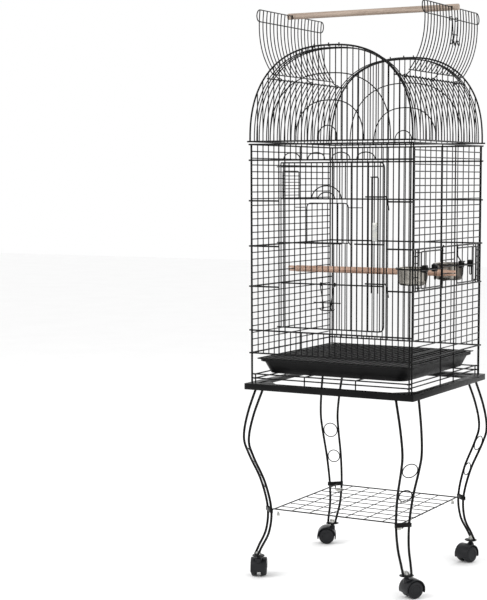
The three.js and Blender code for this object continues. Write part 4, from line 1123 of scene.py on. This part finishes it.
# ---------- feeding doors, holders and cups ----------
FEEDER_HANDLE = ((0, -0.004), (0.003, 0.006), (-0.004, 0.012))   # out and up
SCREW_HEAD = [(0, 0), (0.0042, 0), (0.0046, 0.0008), (0.0046, 0.0034), (0.0038, 0.0044), (0, 0.0044)]
CLAMP_LOOP = ((-0.006, -0.002), (-0.006, -0.03), (0.006, -0.03), (0.006, -0.002))
HOLDER_INSIDE, HOLDER_ARM_Y, HOLDER_ARM_X, CLAMP_LIFT = 0.0448, 0.0336, 0.0325, 0.003


def make_feeder(where, side):
    hinge = Vector(joints[f"feeder_door_{where}_hinge"]["pos_m"])
    low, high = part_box(f"feeder_door_{where}")
    x = high.x - DOOR_WIRE / 2
    free = side * (SUPPORT_HALF + 0.005)
    bottom, top = low.z + 0.002, high.z - 0.002
    inner = hinge.y - side * 0.01
    outline = [(x, inner, top), (x, free, top), (x, free, bottom), (x, inner, bottom)]
    routes = [bent(outline, 0.008, DOOR_WIRE, 6, closed=True)]
    for z in (bottom + 0.002, top - 0.002):
        routes.append(eye((hinge.x, hinge.y, z), (0, 0, 1)))
        routes.append(along_y(x, min(hinge.y, inner), max(hinge.y, inner), z, EYE_WIRE))
    routes.append(along_z(x, hinge.y - side * 0.042, bottom, top, BAR_WIRE))
    holder_z = middle_height(where)
    routes.append(along_y(x, min(inner, free), max(inner, free), holder_z, BAR_WIRE))
    handle = [(x + 0.001, free + side * out, top + up) for out, up in FEEDER_HANDLE]
    routes.append(bent(handle, 0.004, DOOR_WIRE))
    if where == "front":
        routes.append(along_z(x + 0.001, free - 0.0035, bottom - 0.008, top, DOOR_WIRE))
    else:
        arm = [(x + 0.002, free, top + 0.004), (x + 0.002, free, holder_z + 0.03),
               (x + 0.004, free + 0.024, holder_z + 0.012), (x + 0.004, free + 0.05, holder_z + 0.012)]
        routes.append(bent(arm, 0.012, DOOR_WIRE, 6))
    wire_work(f"feeder_door_wires_{where}", routes, f"feeder_{where}", f"feeder_door_{where}")
    make_holder(where, x, holder_z)
    make_cup(where)


def middle_height(where):
    """Height of the ring that holds a cup."""
    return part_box(f"cup_holder_{where}")[0].z + 0.005


def make_holder(where, door_x, z):
    low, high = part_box(f"feed_cup_{where}")
    centre = (low + high) / 2
    routes = [ring((centre.x, centre.y, z), HOLDER_INSIDE + DOOR_WIRE / 2, (0, 0, 1), DOOR_WIRE, 56)]
    face = door_x - DOOR_WIRE / 2 - GAP
    clamps = []
    for side in (-1, 1):
        y = centre.y + side * HOLDER_ARM_Y
        routes.append(along_y(face - 0.003, y - 0.004, y + 0.004, z + 0.0005, DOOR_WIRE))
        routes.append(along_x(centre.x + HOLDER_ARM_X, face - 0.001, y, z, DOOR_WIRE))
        clamps.append(block((face - 0.006, y, z + CLAMP_LIFT), (0.0125, 0.02, 0.021), 0.003, 3))
        clamps.append(moved(turned(SCREW_HEAD, 20), 0, (face + 0.0001, y, z + CLAMP_LIFT), "Y"))
        loop = [(face - 0.004, y + dy, z + dz) for dy, dz in CLAMP_LOOP]
        routes.append(bent(loop, 0.006, BAR_WIRE * 0.9, 6))
    wires = wire_work(f"cup_holder_wires_{where}", routes, None)
    holder = gather([wires, *clamps])
    hand_over(holder, f"cup_holder_wires_{where}", BLACK, f"feeder_{where}", f"cup_holder_{where}")


def make_cup(where):
    low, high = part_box(f"feed_cup_{where}")
    centre = (low + high) / 2
    rim, height = (high.y - low.y) / 2, high.z - low.z
    body, base, wall = rim - 0.0036, rim - 0.0105, 0.0009
    outside = [(0, 0.0012), (base - 0.012, 0.0012), (base - 0.009, 0), (base - 0.003, 0.0004),
               (base + 0.001, 0.0028), (base + 0.0034, 0.0075), (body - 0.0012, 0.02),
               (body - 0.0002, height - 0.007), (body, height - 0.003)]
    lip = [(rim - 0.001, height - 0.0028), (rim, height - 0.0017), (rim - 0.0006, height - 0.0004),
           (rim - 0.0018, height)]
    inside = [(body - wall, height - 0.0018), (body - wall - 0.0008, 0.02), (base + 0.0024, 0.0085), (base, 0.0042),
              (base - 0.005, 0.0024), (0, 0.0022)]
    cup = turned([*outside, *lip, *inside], 56)
    moved(cup, 0, (centre.x, centre.y, low.z))
    hand_over(cup, f"steel_cup_{where}", STEEL, f"cup_{where}", f"feed_cup_{where}")


# ---------- assembly ----------
set_camera()
set_light()
lay_floor()
rounded_copy("base_frame", "stand_frame", BLACK, "cage", 0.0012)
for corner_name in CORNERS:
    make_leg(corner_name)
make_nuts()
make_shelf()
make_casters()
make_base_wires()
make_tray()
make_grate()
make_walls()
dome_end("front_dome_wires", "dome_front", -CAGE_HALF)
dome_end("back_dome_wires", "dome_back", CAGE_HALF)
dome_side("left_dome_wires", "dome_side_left", -1)
dome_side("right_dome_wires", "dome_side_right", 1)
dome_hoops("front_hoops", "dome_hoop_front", -1)
dome_hoops("back_hoops", "dome_hoop_back", 1)
make_flap("left_flap_wires", "left_flap", -1)
make_flap("right_flap_wires", "right_flap", 1)
make_perches()
make_front_door()
make_small_door()
make_latch()
make_door_hook()
make_flap_latch()
make_side_door()
make_feeder("front", -1)
make_feeder("back", 1)
